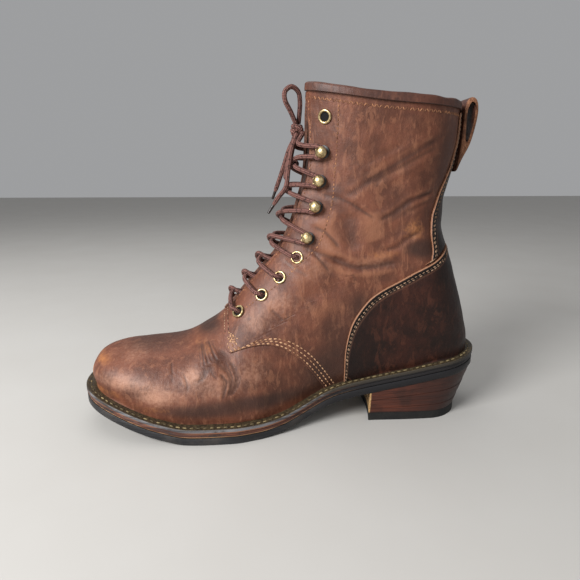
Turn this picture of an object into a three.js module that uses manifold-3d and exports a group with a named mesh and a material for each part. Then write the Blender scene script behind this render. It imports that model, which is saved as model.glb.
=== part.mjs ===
// A left lace-up logger boot, standing empty on its sole.
// Millimetres, +Z up, the toe points to -X and the outer (lateral) side to -Y.
// The boot is drawn with x = 0 at the tip of the toe and y = 0 on the line from heel to toe;
// the group at the end moves the middle of the sole's outline to the origin, on the floor.
import * as THREE from "three";
import { mergeVertices } from "three/addons/utils/BufferGeometryUtils.js";
import Module from "manifold-3d";

const wasm = await Module();
wasm.setup();

// Driving dimensions
const soleLength = 315;
const ballWidth = 111;
const bootHeight = 252;
const heelRise = 41.5;
const toeSpring = 20;
const toeRound = 84;
const toeFullness = 2.35;
const heelRound = 36;
const heelFullness = 2.1;
const weltLedge = 9;
const fitGap = 0.3;
const layerGap = 0.2;

const outsoleThickness = 5.5;
const midsoleThickness = 3.4;
const weltThickness = 3.6;
const midsoleInset = 0.9;
const outsoleInset = 0.4;
const edgeRound = 0.7;

const heelBreast = 223;
const heelBreastHollow = 7;
const heelCapThickness = 6.5;
const heelLiftCount = 5;
const heelInset = 1.2;
const heelTaperRear = 11;
const heelTaperSide = 2.5;
const liftStep = 0.35;

const leatherWall = 2.4;
const quarterStep = 1.3;
const roundSides = 8;
const counterThickness = 1.8;
const backstayThickness = 1.6;
const tongueThickness = 2.4;
const insoleThickness = 3;
const insoleClearance = 1.8;
const bindingThickness = 1.2;
const bindingHeight = 5.5;

const throatBase = 86;
const throatFull = 189;
const throatHalfLow = 8;
const throatHalfHigh = 18;
const throatFoot = 0.6;
const throatShoulder = 6.4;
const throatDepth = 227;
const quartersMeet = 60;
const tongueOverlap = 9;
const tongueTuck = 14;
const tongueDrop = 5;

const eyeletHole = 2.7;
const eyeletBarrel = 3.2;
const eyeletFlange = 5.1;
const eyeletLip = 4.1;
const eyeletFlangeThickness = 0.9;
const hookHead = 4.6;
const hookFoot = 4.1;
const hookNeckSet = 3.3;
const hookRim = 3;
const hookReach = 5.6;
const hookShoulder = 1.4;
const hookDome = 1.9;
const hookWidth = 4.4;
const hookSheet = 1.2;

const laceDiameter = 3.2;
const laceClearance = 1.3;
const laceLift = 2.1;
const laceTuck = 1.2;
const laceSpread = 2.7;
const laceEdgeShare = 0.2;
const laceEdgeSet = 1;
const crossingSteps = 5;
const crossingSides = 6;
const bowSteps = 9;
const knotGap = 0.65;
const bowSides = 8;
const leadDrop = 1;

const pullStrapWidth = 21;
const pullFoot = 0.8 * bootHeight;
const pullRoundSteps = 14;
const pullGapSteps = 13;

// Outline of the welt's outer edge: half widths either side of the heel to toe line.
const solePlan = [
  { along: 0.0, lateral: 0.5, medial: 0.415, ledge: 0.82 },
  { along: 0.2, lateral: 0.528, medial: 0.432, ledge: 0.9 },
  { along: 0.31, lateral: 0.556, medial: 0.442, ledge: 0.95 },
  { along: 0.37, lateral: 0.552, medial: 0.43, ledge: 0.95 },
  { along: 0.43, lateral: 0.512, medial: 0.39, ledge: 0.95 },
  { along: 0.5, lateral: 0.435, medial: 0.325, ledge: 0.97 },
  { along: 0.56, lateral: 0.365, medial: 0.275, ledge: 1.0 },
  { along: 0.63, lateral: 0.33, medial: 0.25, ledge: 1.0 },
  { along: 0.72, lateral: 0.33, medial: 0.29, ledge: 1.0 },
  { along: 0.82, lateral: 0.336, medial: 0.326, ledge: 1.0 },
  { along: 0.92, lateral: 0.33, medial: 0.326, ledge: 1.0 },
  { along: 1.0, lateral: 0.315, medial: 0.315, ledge: 1.04 },
];

// Underside of the outsole: a rise as a share of the toe spring before the ball, of the heel rise behind it.
const soleProfile = [
  { along: 0.0, toe: 1.0, heel: 0 },
  { along: 0.05, toe: 0.84, heel: 0 },
  { along: 0.1, toe: 0.64, heel: 0 },
  { along: 0.15, toe: 0.4, heel: 0 },
  { along: 0.2, toe: 0.18, heel: 0 },
  { along: 0.27, toe: 0, heel: 0 },
  { along: 0.43, toe: 0, heel: 0 },
  { along: 0.48, toe: 0, heel: 0.035 },
  { along: 0.54, toe: 0, heel: 0.17 },
  { along: 0.6, toe: 0, heel: 0.37 },
  { along: 0.66, toe: 0, heel: 0.51 },
  { along: 0.72, toe: 0, heel: 0.605 },
  { along: 0.8, toe: 0, heel: 0.725 },
  { along: 0.9, toe: 0, heel: 0.875 },
  { along: 1.0, toe: 0, heel: 1.0 },
];

// Sections of the last that stand on the sole. Each is a slanted plane from a place on the feather
// line (at, a share of its length) to a point of the top line (topX of the length, topZ of the
// height). Half widths are a share of the feather line's (foot) plus a share of the ball width
// (outer on the lateral side, inner on the medial side). The widest place (wide) is a share of the
// section's height; crown says how square its top is, and flat how much of the way to its tip it
// goes before it is cut off flat, as it is between the facings.
const footSections = [
  { at: 0.0, topX: 0.026, topZ: 0.13, foot: 1.0, outer: 0, inner: 0, wide: 0.3, crown: 2.2, flat: 1 },
  { at: 0.0064, topX: 0.0185, topZ: 0.165, foot: 1.0, outer: 0, inner: 0, wide: 0.3, crown: 2.3, flat: 1 },
  { at: 0.0216, topX: 0.029, topZ: 0.2, foot: 1.0, outer: 0, inner: 0, wide: 0.3, crown: 2.4, flat: 1 },
  { at: 0.052, topX: 0.056, topZ: 0.226, foot: 1.005, outer: 0, inner: 0, wide: 0.28, crown: 2.35, flat: 1 },
  { at: 0.099, topX: 0.097, topZ: 0.24, foot: 1.01, outer: 0, inner: 0, wide: 0.25, crown: 2.3, flat: 1 },
  { at: 0.16, topX: 0.148, topZ: 0.248, foot: 1.01, outer: 0, inner: 0, wide: 0.22, crown: 2.25, flat: 1 },
  { at: 0.2274, topX: 0.202, topZ: 0.253, foot: 1.01, outer: 0, inner: 0, wide: 0.2, crown: 2.15, flat: 1 },
  { at: 0.295, topX: 0.2516, topZ: 0.266, foot: 1.015, outer: 0, inner: 0, wide: 0.18, crown: 2.05, flat: 1 },
  { at: 0.3623, topX: 0.2997, topZ: 0.297, foot: 1.02, outer: 0, inner: 0, wide: 0.17, crown: 1.95, flat: 0.995 },
  { at: 0.43, topX: 0.352, topZ: 0.34, foot: 0, outer: 0.45, inner: 0.345, wide: 0.17, crown: 1.85, flat: 0.985 },
  { at: 0.497, topX: 0.404, topZ: 0.41, foot: 0, outer: 0.39, inner: 0.315, wide: 0.24, crown: 1.85, flat: 0.97 },
  { at: 0.5715, topX: 0.451, topZ: 0.478, foot: 0, outer: 0.34, inner: 0.3, wide: 0.33, crown: 1.95, flat: 0.955 },
  { at: 0.659, topX: 0.493, topZ: 0.548, foot: 0, outer: 0.315, inner: 0.295, wide: 0.38, crown: 2.1, flat: 0.945 },
  { at: 0.7537, topX: 0.519, topZ: 0.619, foot: 0, outer: 0.305, inner: 0.298, wide: 0.4, crown: 2.3, flat: 0.935 },
  { at: 0.848, topX: 0.531, topZ: 0.684, foot: 0, outer: 0.305, inner: 0.302, wide: 0.38, crown: 2.4, flat: 0.925 },
  { at: 0.929, topX: 0.5395, topZ: 0.742, foot: 0, outer: 0.308, inner: 0.306, wide: 0.35, crown: 2.45, flat: 0.92 },
  { at: 0.98, topX: 0.545, topZ: 0.787, foot: 0, outer: 0.312, inner: 0.312, wide: 0.33, crown: 2.5, flat: 0.915 },
  { at: 1, topX: 0.55, topZ: 0.822, foot: 0, outer: 0.316, inner: 0.316, wide: 0.32, crown: 2.5, flat: 0.91 },
];

// Closed sections of the leg, from the back line (backX, backZ) to the front line (topX, topZ).
// The half width is a share of the ball width, and dip is how far its middle hangs, as a share.
const legSections = [
  { backX: 0.956, backZ: 0.303, topX: 0.553, topZ: 0.854, half: 0.32, wide: 0.32, crown: 2.5, dip: 0 },
  { backX: 0.935, backZ: 0.4, topX: 0.555, topZ: 0.883, half: 0.324, wide: 0.32, crown: 2.55, dip: 0 },
  { backX: 0.909, backZ: 0.504, topX: 0.556, topZ: 0.911, half: 0.328, wide: 0.32, crown: 2.6, dip: 0 },
  { backX: 0.886, backZ: 0.603, topX: 0.556, topZ: 0.935, half: 0.332, wide: 0.33, crown: 2.6, dip: 0 },
  { backX: 0.886, backZ: 0.672, topX: 0.557, topZ: 0.952, half: 0.34, wide: 0.34, crown: 2.6, dip: 0 },
  { backX: 0.901, backZ: 0.758, topX: 0.558, topZ: 0.969, half: 0.355, wide: 0.34, crown: 2.65, dip: 0.1 },
  { backX: 0.912, backZ: 0.85, topX: 0.56, topZ: 0.984, half: 0.37, wide: 0.34, crown: 2.7, dip: 0.5 },
  { backX: 0.9165, backZ: 0.95, topX: 0.562, topZ: 1.0, half: 0.385, wide: 0.34, crown: 2.8, dip: 1.0 },
];
const legFlat = 0.905;
const legTwist = 0.12;
const collarDip = 4;
const seatGap = 2 * fitGap;

// Side view of the pieces that overlap: places as shares of the length and the height.
const quarterEdge = [
  { x: 0.349, z: 0.35 },
  { x: 0.35, z: 0.29 },
  { x: 0.359, z: 0.255 },
  { x: 0.371, z: 0.245 },
  { x: 0.404, z: 0.26 },
  { x: 0.448, z: 0.267 },
  { x: 0.481, z: 0.259 },
  { x: 0.513, z: 0.236 },
  { x: 0.54, z: 0.206 },
  { x: 0.566, z: 0.165 },
  { x: 0.593, z: 0.115 },
];
const counterEdge = [
  { x: 0.645, z: 0.1 },
  { x: 0.642, z: 0.22 },
  { x: 0.647, z: 0.278 },
  { x: 0.66, z: 0.33 },
  { x: 0.689, z: 0.385 },
  { x: 0.721, z: 0.42 },
  { x: 0.766, z: 0.452 },
  { x: 0.804, z: 0.48 },
  { x: 0.845, z: 0.508 },
  { x: 0.88, z: 0.537 },
  { x: 0.94, z: 0.575 },
];
const backstayEdge = [
  { x: 0.83, z: 0.46 },
  { x: 0.8365, z: 0.51 },
  { x: 0.838, z: 0.545 },
  { x: 0.832, z: 0.588 },
  { x: 0.8345, z: 0.635 },
  { x: 0.849, z: 0.685 },
  { x: 0.873, z: 0.75 },
  { x: 0.8905, z: 0.81 },
  { x: 0.899, z: 0.87 },
  { x: 0.9, z: 1.03 },
];

// Lace hardware up each facing: eyelets, then hooks, then one eyelet at the top.
const hardwareRows = [
  { name: "eyelet_1", x: 0.390, z: 0.351, hook: false, bulge: 2 },
  { name: "eyelet_2", x: 0.446, z: 0.404, hook: false, bulge: 2.5 },
  { name: "eyelet_3", x: 0.489, z: 0.457, hook: false, bulge: 3 },
  { name: "eyelet_4", x: 0.530, z: 0.517, hook: false, bulge: 4 },
  { name: "hook_1", x: 0.557, z: 0.574, hook: true, bulge: 4.6 },
  { name: "hook_2", x: 0.575, z: 0.663, hook: true, bulge: 3 },
  { name: "hook_3", x: 0.583, z: 0.736, hook: true, bulge: 0.8 },
  { name: "hook_4", x: 0.590, z: 0.817, hook: true, bulge: 0.6 },
  { name: "eyelet_5", x: 0.590, z: 0.910, hook: false, bulge: 0 },
];

// A smooth curve through a table's column that never overshoots its rows.
function smoothColumn(rows, column, at) {
  const x = rows.map((row) => row[at]);
  const y = rows.map((row) => row[column]);
  const n = rows.length;
  const slope = x.slice(1).map((value, i) => (y[i + 1] - y[i]) / (value - x[i]));
  const tangent = y.map((_, i) => {
    if (i === 0) return slope[0];
    if (i === n - 1) return slope[n - 2];
    const [before, after] = [slope[i - 1], slope[i]];
    return before * after <= 0 ? 0 : (2 * before * after) / (before + after);
  });
  return (value) => {
    let i = 0;
    while (i < n - 2 && value > x[i + 1]) i += 1;
    const width = x[i + 1] - x[i];
    const s = Math.min(1, Math.max(0, (value - x[i]) / width));
    const h = s * s * (3 - 2 * s);
    const rise = s * (1 - s) * (1 - s) * width;
    const fall = s * s * (s - 1) * width;
    return y[i] * (1 - h) + y[i + 1] * h + tangent[i] * rise + tangent[i + 1] * fall;
  };
}

const planLateral = smoothColumn(solePlan, "lateral", "along");
const planMedial = smoothColumn(solePlan, "medial", "along");
const planLedge = smoothColumn(solePlan, "ledge", "along");
const riseToe = smoothColumn(soleProfile, "toe", "along");
const riseHeel = smoothColumn(soleProfile, "heel", "along");

const soleBottom = (x) => toeSpring * riseToe(x / soleLength) + heelRise * riseHeel(x / soleLength);
const edgeThickness = outsoleThickness + midsoleThickness + weltThickness;
const seatHeight = (x) => soleBottom(Math.min(x, soleLength)) + edgeThickness;

// How far a piece's outline lies inside the welt's outer edge.
const evenInset = (distance) => () => distance;
const featherInset = (x) => weltLedge * planLedge(x / soleLength);
const insoleInset = (x) => featherInset(x) + leatherWall + insoleClearance;

// 0 at an end of the outline and 1 where its round stretch is over.
function roundEnd(distance, reach, fullness) {
  const share = Math.min(1, Math.max(0, distance / reach));
  return (1 - (1 - share) ** fullness) ** (1 / fullness);
}

// Half width of an outline at x; side is -1 lateral, +1 medial.
function halfWidth(x, side, inset) {
  const share = side < 0 ? planLateral(x / soleLength) : planMedial(x / soleLength);
  const toe = roundEnd(x - inset(0), toeRound - inset(0), toeFullness);
  const heel = roundEnd(soleLength - inset(soleLength) - x, heelRound - inset(soleLength), heelFullness);
  return Math.max(0, share * ballWidth - inset(x)) * toe * heel;
}
const toeFeather = featherInset(0);
const heelFeather = soleLength - featherInset(soleLength);

// Solids from vertex lists and from three.js shapes
function toSolid(positions, triangles) {
  const geometry = new THREE.BufferGeometry();
  const numbers = positions.flatMap((p) => [p.x, p.y, p.z]);
  geometry.setAttribute("position", new THREE.Float32BufferAttribute(numbers, 3));
  geometry.setIndex(triangles);
  return geometryToSolid(geometry);
}

function geometryToSolid(geometry) {
  const bare = geometry.clone();
  for (const name of Object.keys(bare.attributes)) {
    if (name !== "position") bare.deleteAttribute(name);
  }
  const merged = mergeVertices(bare, 1e-4);
  const mesh = new wasm.Mesh({
    numProp: 3,
    vertProperties: new Float32Array(merged.attributes.position.array),
    triVerts: new Uint32Array(merged.index.array),
  });
  return new wasm.Manifold(mesh);
}

function solidToGeometry(solid) {
  const mesh = solid.getMesh();
  const geometry = new THREE.BufferGeometry();
  geometry.setAttribute("position", new THREE.BufferAttribute(mesh.vertProperties, 3));
  geometry.setIndex(new THREE.BufferAttribute(mesh.triVerts, 1));
  const faceted = geometry.toNonIndexed();
  faceted.computeVertexNormals();
  return faceted;
}

// How far the cutting shapes reach past the boot
const cutterReach = 400;
const cutterPast = 50;
const cutterEnd = soleLength + cutterPast;
const cutterTop = bootHeight + cutterPast;

// A side view outline (x, z) carried through the whole width of the boot.
function sidePrism(points) {
  const shape = new THREE.Shape(points.map(([x, z]) => new THREE.Vector2(x, z)));
  const geometry = new THREE.ExtrudeGeometry(shape, { depth: cutterReach, bevelEnabled: false });
  geometry.rotateX(Math.PI / 2).translate(0, cutterReach / 2, 0);
  return geometryToSolid(geometry);
}

// A front view outline (y, z) carried along x from one place to another.
function frontPrism(points, from, to) {
  const shape = new THREE.Shape(points.map(([y, z]) => new THREE.Vector2(y, z)));
  const geometry = new THREE.ExtrudeGeometry(shape, { depth: to - from, bevelEnabled: false });
  geometry.rotateX(Math.PI / 2).rotateZ(Math.PI / 2).translate(from, 0, 0);
  return geometryToSolid(geometry);
}

const edgePoints = (table, steps = 1) => {
  const curve = new THREE.CatmullRomCurve3(
    table.map((row) => new THREE.Vector3(row.x * soleLength, 0, row.z * bootHeight)),
    false,
    "centripetal",
  );
  return curve.getPoints((table.length - 1) * steps).map((p) => [p.x, p.z]);
};

// Places along the sole, as shares, closer together at its two ends
const soleStations = [
  ...[0, 0.004, 0.016, 0.036, 0.065, 0.1, 0.135, 0.17, 0.21, 0.26, 0.32, 0.38, 0.43, 0.47],
  ...[0.51, 0.55, 0.6, 0.66, 0.73, 0.8, 0.87, 0.92, 0.955, 0.98, 0.995, 1],
];

// A closed layer whose rings, from low to high, each have an inset and a rise over the sole's underside.
function layer(rings) {
  const positions = [];
  const triangles = [];
  const corners = rings.length * 2;
  for (const station of soleStations) {
    for (const side of [-1, 1]) {
      for (const ring of side < 0 ? rings : [...rings].reverse()) {
        const start = ring.inset(0);
        const x = start + station * (soleLength - ring.inset(soleLength) - start);
        const y = side * halfWidth(x, side, ring.inset);
        positions.push(new THREE.Vector3(x, y, soleBottom(x) + ring.rise));
      }
    }
  }
  for (let i = 0; i < soleStations.length - 1; i += 1) {
    for (let j = 0; j < corners; j += 1) {
      const [a, b] = [i * corners + j, i * corners + ((j + 1) % corners)];
      triangles.push(a, a + corners, b, b, a + corners, b + corners);
    }
  }
  for (const start of [0, (soleStations.length - 1) * corners]) {
    for (let j = 0; j < rings.length; j += 1) positions[start + corners - 1 - j].copy(positions[start + j]);
  }
  return cleanSolid(positions, triangles);
}

// A solid without the triangles that have shrunk to a line where the two sides meet.
function cleanSolid(positions, triangles) {
  const key = (p) => [p.x, p.y, p.z].map((v) => Math.round(v * 1e4)).join(",");
  const kept = [];
  for (let i = 0; i < triangles.length; i += 3) {
    const corners = triangles.slice(i, i + 3);
    if (new Set(corners.map((k) => key(positions[k]))).size === 3) kept.push(...corners);
  }
  return toSolid(positions, kept);
}

const midsoleBottom = outsoleThickness + layerGap;
const midsoleTop = outsoleThickness + midsoleThickness;
function outsole() {
  return layer([
    { inset: evenInset(outsoleInset + edgeRound), rise: 0 },
    { inset: evenInset(outsoleInset), rise: edgeRound },
    { inset: evenInset(outsoleInset), rise: outsoleThickness },
  ]);
}

function midsole() {
  return layer([
    { inset: evenInset(midsoleInset), rise: midsoleBottom },
    { inset: evenInset(midsoleInset), rise: midsoleTop },
  ]);
}

function welt() {
  return layer([
    { inset: evenInset(0), rise: midsoleTop + layerGap },
    { inset: evenInset(0), rise: edgeThickness - edgeRound },
    { inset: evenInset(edgeRound), rise: edgeThickness },
  ]);
}

function insole() {
  return layer([
    { inset: insoleInset, rise: edgeThickness + seatGap },
    { inset: insoleInset, rise: edgeThickness + seatGap + insoleThickness },
  ]);
}

// The stacked heel: lifts that fan from the floor to the slope of the heel seat
const heelSteps = 8;
const breastShares = [0.5, 0, -0.5];
const heelEdge = evenInset(heelInset);
function heelOutline(drop, inset) {
  const rear = soleLength - heelInset - heelTaperRear * drop - inset;
  const front = heelBreast + inset;
  const stretch = (soleLength - heelInset - front) / (rear - front);
  const half = (x, side) => {
    const wide = halfWidth(front + (x - front) * stretch, side, heelEdge);
    return Math.max(0, wide - inset - heelTaperSide * drop);
  };
  const places = [];
  for (let i = 0; i <= heelSteps; i += 1) {
    places.push(front + (rear - front) * Math.sin((Math.PI / 2) * (i / heelSteps)));
  }
  const lateral = places.map((x, i) => [x, i === heelSteps ? 0 : -half(x, -1)]);
  const medial = places.slice(0, -1).reverse().map((x) => [x, half(x, 1)]);
  const hollow = breastShares.map((share) => {
    const y = Math.abs(share) * (share > 0 ? half(front, 1) : -half(front, -1));
    return [front + heelBreastHollow * (1 - share * share), y];
  });
  return [...lateral, ...medial, ...hollow];
}

// A slab of the heel between two shares of its height, 0 on the cap and 1 under the outsole.
function heelSlab(low, high, inset) {
  const heights = [
    (x) => (low < 0 ? 0 : heelHeight(x, low) + layerGap),
    (x) => heelHeight(x, high),
  ];
  const positions = [low, high].flatMap((share, i) =>
    heelOutline(Math.min(1, 1 - share), inset).map(([x, y]) => new THREE.Vector3(x, y, heights[i](x))),
  );
  const count = positions.length / 2;
  const flat = positions.slice(0, count).map((p) => new THREE.Vector2(p.x, p.y));
  const triangles = [];
  for (const [a, b, c] of THREE.ShapeUtils.triangulateShape(flat, [])) {
    triangles.push(a, c, b, a + count, b + count, c + count);
  }
  for (let i = 0; i < count; i += 1) {
    const next = (i + 1) % count;
    triangles.push(i, next, i + count, next, next + count, i + count);
  }
  return toSolid(positions, triangles);
}
const heelHeight = (x, share) =>
  heelCapThickness + (soleBottom(Math.min(x, soleLength)) - layerGap - heelCapThickness) * share;

// The skin of the last: a fan of sections, each a ring from the lateral foot over the top to the medial foot
const halfRingSteps = 7;
const stepsPerFootRow = 2;
const cornerRow = footSections.length - 1;

const sectionRows = [
  ...footSections.map((row, i) => ({
    ...row,
    row: i,
    backX: (toeFeather + row.at * (heelFeather - toeFeather)) / soleLength,
    backZ: 0,
    twist: 0,
    dip: 0,
  })),
  ...legSections.map((row, i) => ({
    ...row,
    row: cornerRow + 1 + i,
    foot: 0,
    outer: row.half,
    inner: row.half,
    flat: legFlat,
    twist: (i + 1) / legSections.length,
  })),
];
sectionRows[cornerRow].backZ = seatHeight(heelFeather) / bootHeight;
const sectionNames = [
  ...["backX", "backZ", "topX", "topZ", "foot", "outer"],
  ...["inner", "wide", "crown", "flat", "twist", "dip"],
];
const sectionColumn = Object.fromEntries(
  sectionNames.map((name) => {
    const rows = name === "backZ" ? sectionRows.slice(cornerRow) : sectionRows;
    return [name, smoothColumn(rows, name, "row")];
  }),
);

function sectionRing(row) {
  const value = Object.fromEntries(sectionNames.map((name) => [name, sectionColumn[name](row)]));
  const onSole = row <= cornerRow;
  const backX = value.backX * soleLength;
  const backZ = onSole ? seatHeight(backX) : value.backZ * bootHeight;
  const back = new THREE.Vector3(backX, 0, backZ + seatGap);
  const top = new THREE.Vector3(value.topX * soleLength, 0, value.topZ * bootHeight);
  if (row === 0) top.copy(back);
  const reach = value.wide + (1 - value.wide) * value.flat;
  const ring = [];
  for (let j = 0; j <= 2 * halfRingSteps; j += 1) {
    const side = j <= halfRingSteps ? -1 : 1;
    const step = side < 0 ? j : 2 * halfRingSteps - j;
    const up = 0.5 - 0.5 * Math.cos((Math.PI * step) / halfRingSteps);
    const foot = onSole ? halfWidth(backX, side, featherInset) : 0;
    const half = foot * value.foot + ballWidth * (side < 0 ? value.outer : value.inner);
    const point = back.clone().lerp(top, Math.min(up / reach, 1));
    if (row > 0) point.y = side * half * sectionShare(up, value.wide, value.crown, foot / half);
    point.x += legTwist * value.twist * point.y;
    point.z -= collarDip * value.dip * Math.sin(Math.PI * up);
    ring.push(point);
  }
  return ring;
}

// Share of the full half width at a height of 0 to 1 in a section; base is the share at its foot.
function sectionShare(up, widest, crown, base) {
  if (up >= widest) return Math.sqrt(Math.max(0, 1 - ((up - widest) / (1 - widest)) ** crown));
  const down = (widest - up) / widest;
  return Math.sqrt(Math.max(0, 1 - (1 - Math.min(1, base) ** 2) * down * down));
}

const lastRow = sectionRows.length - 1;
const rings = [];
for (let i = 0; i < cornerRow * stepsPerFootRow; i += 1) rings.push(sectionRing(i / stepsPerFootRow));
for (let row = cornerRow; row <= lastRow; row += 1) rings.push(sectionRing(row));
const ringSize = 2 * halfRingSteps + 1;
const cornerRing = cornerRow * stepsPerFootRow;

// Index of a skin vertex: the toe is one point, and behind the corner the ring closes at the back.
const skinIndex = (i, j) => (i === 0 ? 0 : i * ringSize + (i >= cornerRing && j === ringSize - 1 ? 0 : j));
const skinFaces = [];
for (let i = 0; i < rings.length - 1; i += 1) {
  for (let j = 0; j < ringSize - 1; j += 1) {
    const [a, b, c, d] = [skinIndex(i, j), skinIndex(i, j + 1), skinIndex(i + 1, j), skinIndex(i + 1, j + 1)];
    if (a !== b) skinFaces.push([a, c, b]);
    if (c !== d) skinFaces.push([b, c, d]);
  }
}

const skinPoints = rings.flat();
const skinNormals = skinPoints.map(() => new THREE.Vector3());
for (const [a, b, c] of skinFaces) {
  const ab = skinPoints[b].clone().sub(skinPoints[a]);
  const ac = skinPoints[c].clone().sub(skinPoints[a]);
  const face = ab.cross(ac);
  for (const k of [a, b, c]) skinNormals[k].add(face);
}
const footEdge = (k) => {
  const [i, j] = [Math.floor(k / ringSize), k % ringSize];
  return i === 0 || (i <= cornerRing && (j === 0 || j === ringSize - 1));
};
const collarEdge = (k) => Math.floor(k / ringSize) === rings.length - 1;
skinNormals.forEach((normal, k) => {
  if (footEdge(k) || collarEdge(k)) normal.z = 0;
  normal.normalize();
});

// The skin pushed out (or in, below 0) by an offset; tall lifts its collar by that much.
function offsetSkin(offset, tall) {
  const points = skinPoints.map((point, k) => {
    const moved = point.clone().addScaledVector(skinNormals[k], offset);
    if (footEdge(k)) moved.z = seatHeight(moved.x) + seatGap;
    if (collarEdge(k)) moved.z += tall;
    return moved;
  });
  return points;
}

// A closed shell between two offsets of the skin, open at the foot and the collar.
function shell(inner, outer, tall = 0) {
  const outside = offsetSkin(outer, tall);
  const inside = offsetSkin(inner, tall);
  const count = outside.length;
  const triangles = [];
  const edges = new Map();
  for (const [a, b, c] of skinFaces) {
    triangles.push(a, b, c, a + count, c + count, b + count);
    for (const [from, to] of [[a, b], [b, c], [c, a]]) edges.set(`${from},${to}`, [from, to]);
  }
  for (const [from, to] of edges.values()) {
    if (edges.has(`${to},${from}`)) continue;
    triangles.push(to, from, from + count, to, from + count, to + count);
  }
  const used = [...new Set(triangles)];
  const place = new Map(used.map((k, i) => [k, i]));
  const all = [...outside, ...inside];
  return toSolid(used.map((k) => all[k]), triangles.map((k) => place.get(k)));
}

// Where a line along y at (x, z) meets the skin on one side, with the outward normal there.
function onSkin(x, z, side) {
  const ray = new THREE.Ray(new THREE.Vector3(x, side * ballWidth, z), new THREE.Vector3(0, -side, 0));
  const hit = new THREE.Vector3();
  for (const [a, b, c] of skinFaces) {
    const corners = [a, b, c].map((k) => skinPoints[k]);
    if (ray.intersectTriangle(...corners, false, hit)) {
      const normal = new THREE.Triangle(...corners).getNormal(new THREE.Vector3());
      if (normal.y * side > 0) return { point: hit.clone(), normal };
    }
  }
  throw new Error(`no skin at x ${x}, z ${z}`);
}

// Opening of the throat in the front view, from its base up to the collar
function throatOutline(base) {
  return [
    [-throatHalfLow * throatFoot, base],
    [throatHalfLow * throatFoot, base],
    [throatHalfLow, base + throatShoulder],
    [throatHalfHigh, throatFull],
    [throatHalfHigh, cutterTop],
    [-throatHalfHigh, cutterTop],
    [-throatHalfHigh, throatFull],
    [-throatHalfLow, base + throatShoulder],
  ];
}
const throatCutter = (base) => frontPrism(throatOutline(base), -cutterPast, throatDepth);

// Half of the throat's width at a height.
function throatHalf(z) {
  const shoulder = throatBase + throatShoulder;
  const share = (z - shoulder) / (throatFull - shoulder);
  return throatHalfLow + (throatHalfHigh - throatHalfLow) * Math.min(1, Math.max(0, share));
}

const sides = [
  ["lateral", -1],
  ["medial", 1],
];
const hardware = hardwareRows.flatMap((row) =>
  sides.map(([label, side]) => {
    const { point, normal } = onSkin(row.x * soleLength, row.z * bootHeight, side);
    const seat = point.clone().addScaledVector(normal, quarterStep + seatGap);
    return { ...row, name: `${row.name}_${label}`, side, seat, normal };
  }),
);

// A frame whose z is the leather's normal and whose x runs away from the throat.
function seatFrame({ seat, normal, side }) {
  const along = new THREE.Vector3(0, 0, 1).addScaledVector(normal, -normal.z).normalize();
  const away = along.clone().cross(normal).multiplyScalar(-side).normalize();
  const across = normal.clone().cross(away);
  return new THREE.Matrix4().makeBasis(away, across, normal).setPosition(seat);
}

function eyeletHoles() {
  const holeRadius = eyeletBarrel + fitGap;
  const depth = cutterPast / 2;
  return hardware
    .filter((item) => !item.hook)
    .map((item) => {
      const bore = new THREE.CylinderGeometry(holeRadius, holeRadius, depth, roundSides).rotateX(Math.PI / 2);
      return geometryToSolid(bore.applyMatrix4(seatFrame(item)));
    });
}

function upper() {
  const base = shell(-leatherWall, 0);
  const quarters = shell(-leatherWall / 2, quarterStep)
    .intersect(
      sidePrism([
        ...edgePoints(quarterEdge),
        [quarterEdge.at(-1).x * soleLength, -cutterPast],
        [cutterEnd, -cutterPast],
        [cutterEnd, cutterTop],
        [quarterEdge[0].x * soleLength, cutterTop],
      ]),
    )
    .subtract(throatCutter(quartersMeet));
  let leather = base.add(quarters).subtract(throatCutter(throatBase));
  for (const hole of eyeletHoles()) leather = leather.subtract(hole);
  return leather;
}

function counter() {
  const inner = quarterStep + fitGap;
  return shell(inner, inner + counterThickness).intersect(
    sidePrism([
      ...edgePoints(counterEdge),
      [cutterEnd, counterEdge.at(-1).z * bootHeight],
      [cutterEnd, -cutterPast],
      [counterEdge[0].x * soleLength, -cutterPast],
    ]),
  );
}

function backstay() {
  const inner = quarterStep + fitGap;
  const counterTop = edgePoints(counterEdge).map(([x, z]) => [x - fitGap, z + seatGap]);
  const above = sidePrism([
    ...counterTop,
    [cutterEnd, counterTop.at(-1)[1]],
    [cutterEnd, cutterTop],
    [0, cutterTop],
    [0, 0],
  ]);
  const strip = sidePrism([
    ...edgePoints(backstayEdge),
    [cutterEnd, backstayEdge.at(-1).z * bootHeight],
    [cutterEnd, backstayEdge[0].z * bootHeight],
  ]);
  const belowBinding = collarSlab(-bindingHeight - fitGap, true);
  return shell(inner, inner + backstayThickness).intersect(strip).intersect(above).intersect(belowBinding);
}

// Everything below (or above) a surface that follows the collar line at a distance from it.
const slabSteps = 10;
const slabPast = 3;
function collarSlab(lift, below) {
  const front = rings.at(-1)[halfRingSteps];
  const back = rings.at(-1)[0];
  const dipAt = (share) => collarDip * Math.sin(Math.PI * share);
  const line = [];
  for (let i = -slabPast; i <= slabSteps + slabPast; i += 1) {
    const share = i / slabSteps;
    const inside = Math.min(1, Math.max(0, share));
    const level = back.z + (front.z - back.z) * share;
    line.push([back.x + (front.x - back.x) * share, level - dipAt(inside) + lift]);
  }
  const far = below ? -cutterPast : cutterTop;
  return sidePrism([...line, [line.at(-1)[0], far], [line[0][0], far]]);
}

function collarBinding() {
  const outer = quarterStep + fitGap + bindingThickness;
  const inner = -leatherWall - fitGap - bindingThickness;
  const block = shell(inner, outer, bindingThickness + fitGap).intersect(collarSlab(-bindingHeight, false));
  const room = shell(-leatherWall - fitGap, quarterStep + fitGap, fitGap);
  return block.subtract(room).subtract(throatCutter(throatBase));
}

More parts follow.
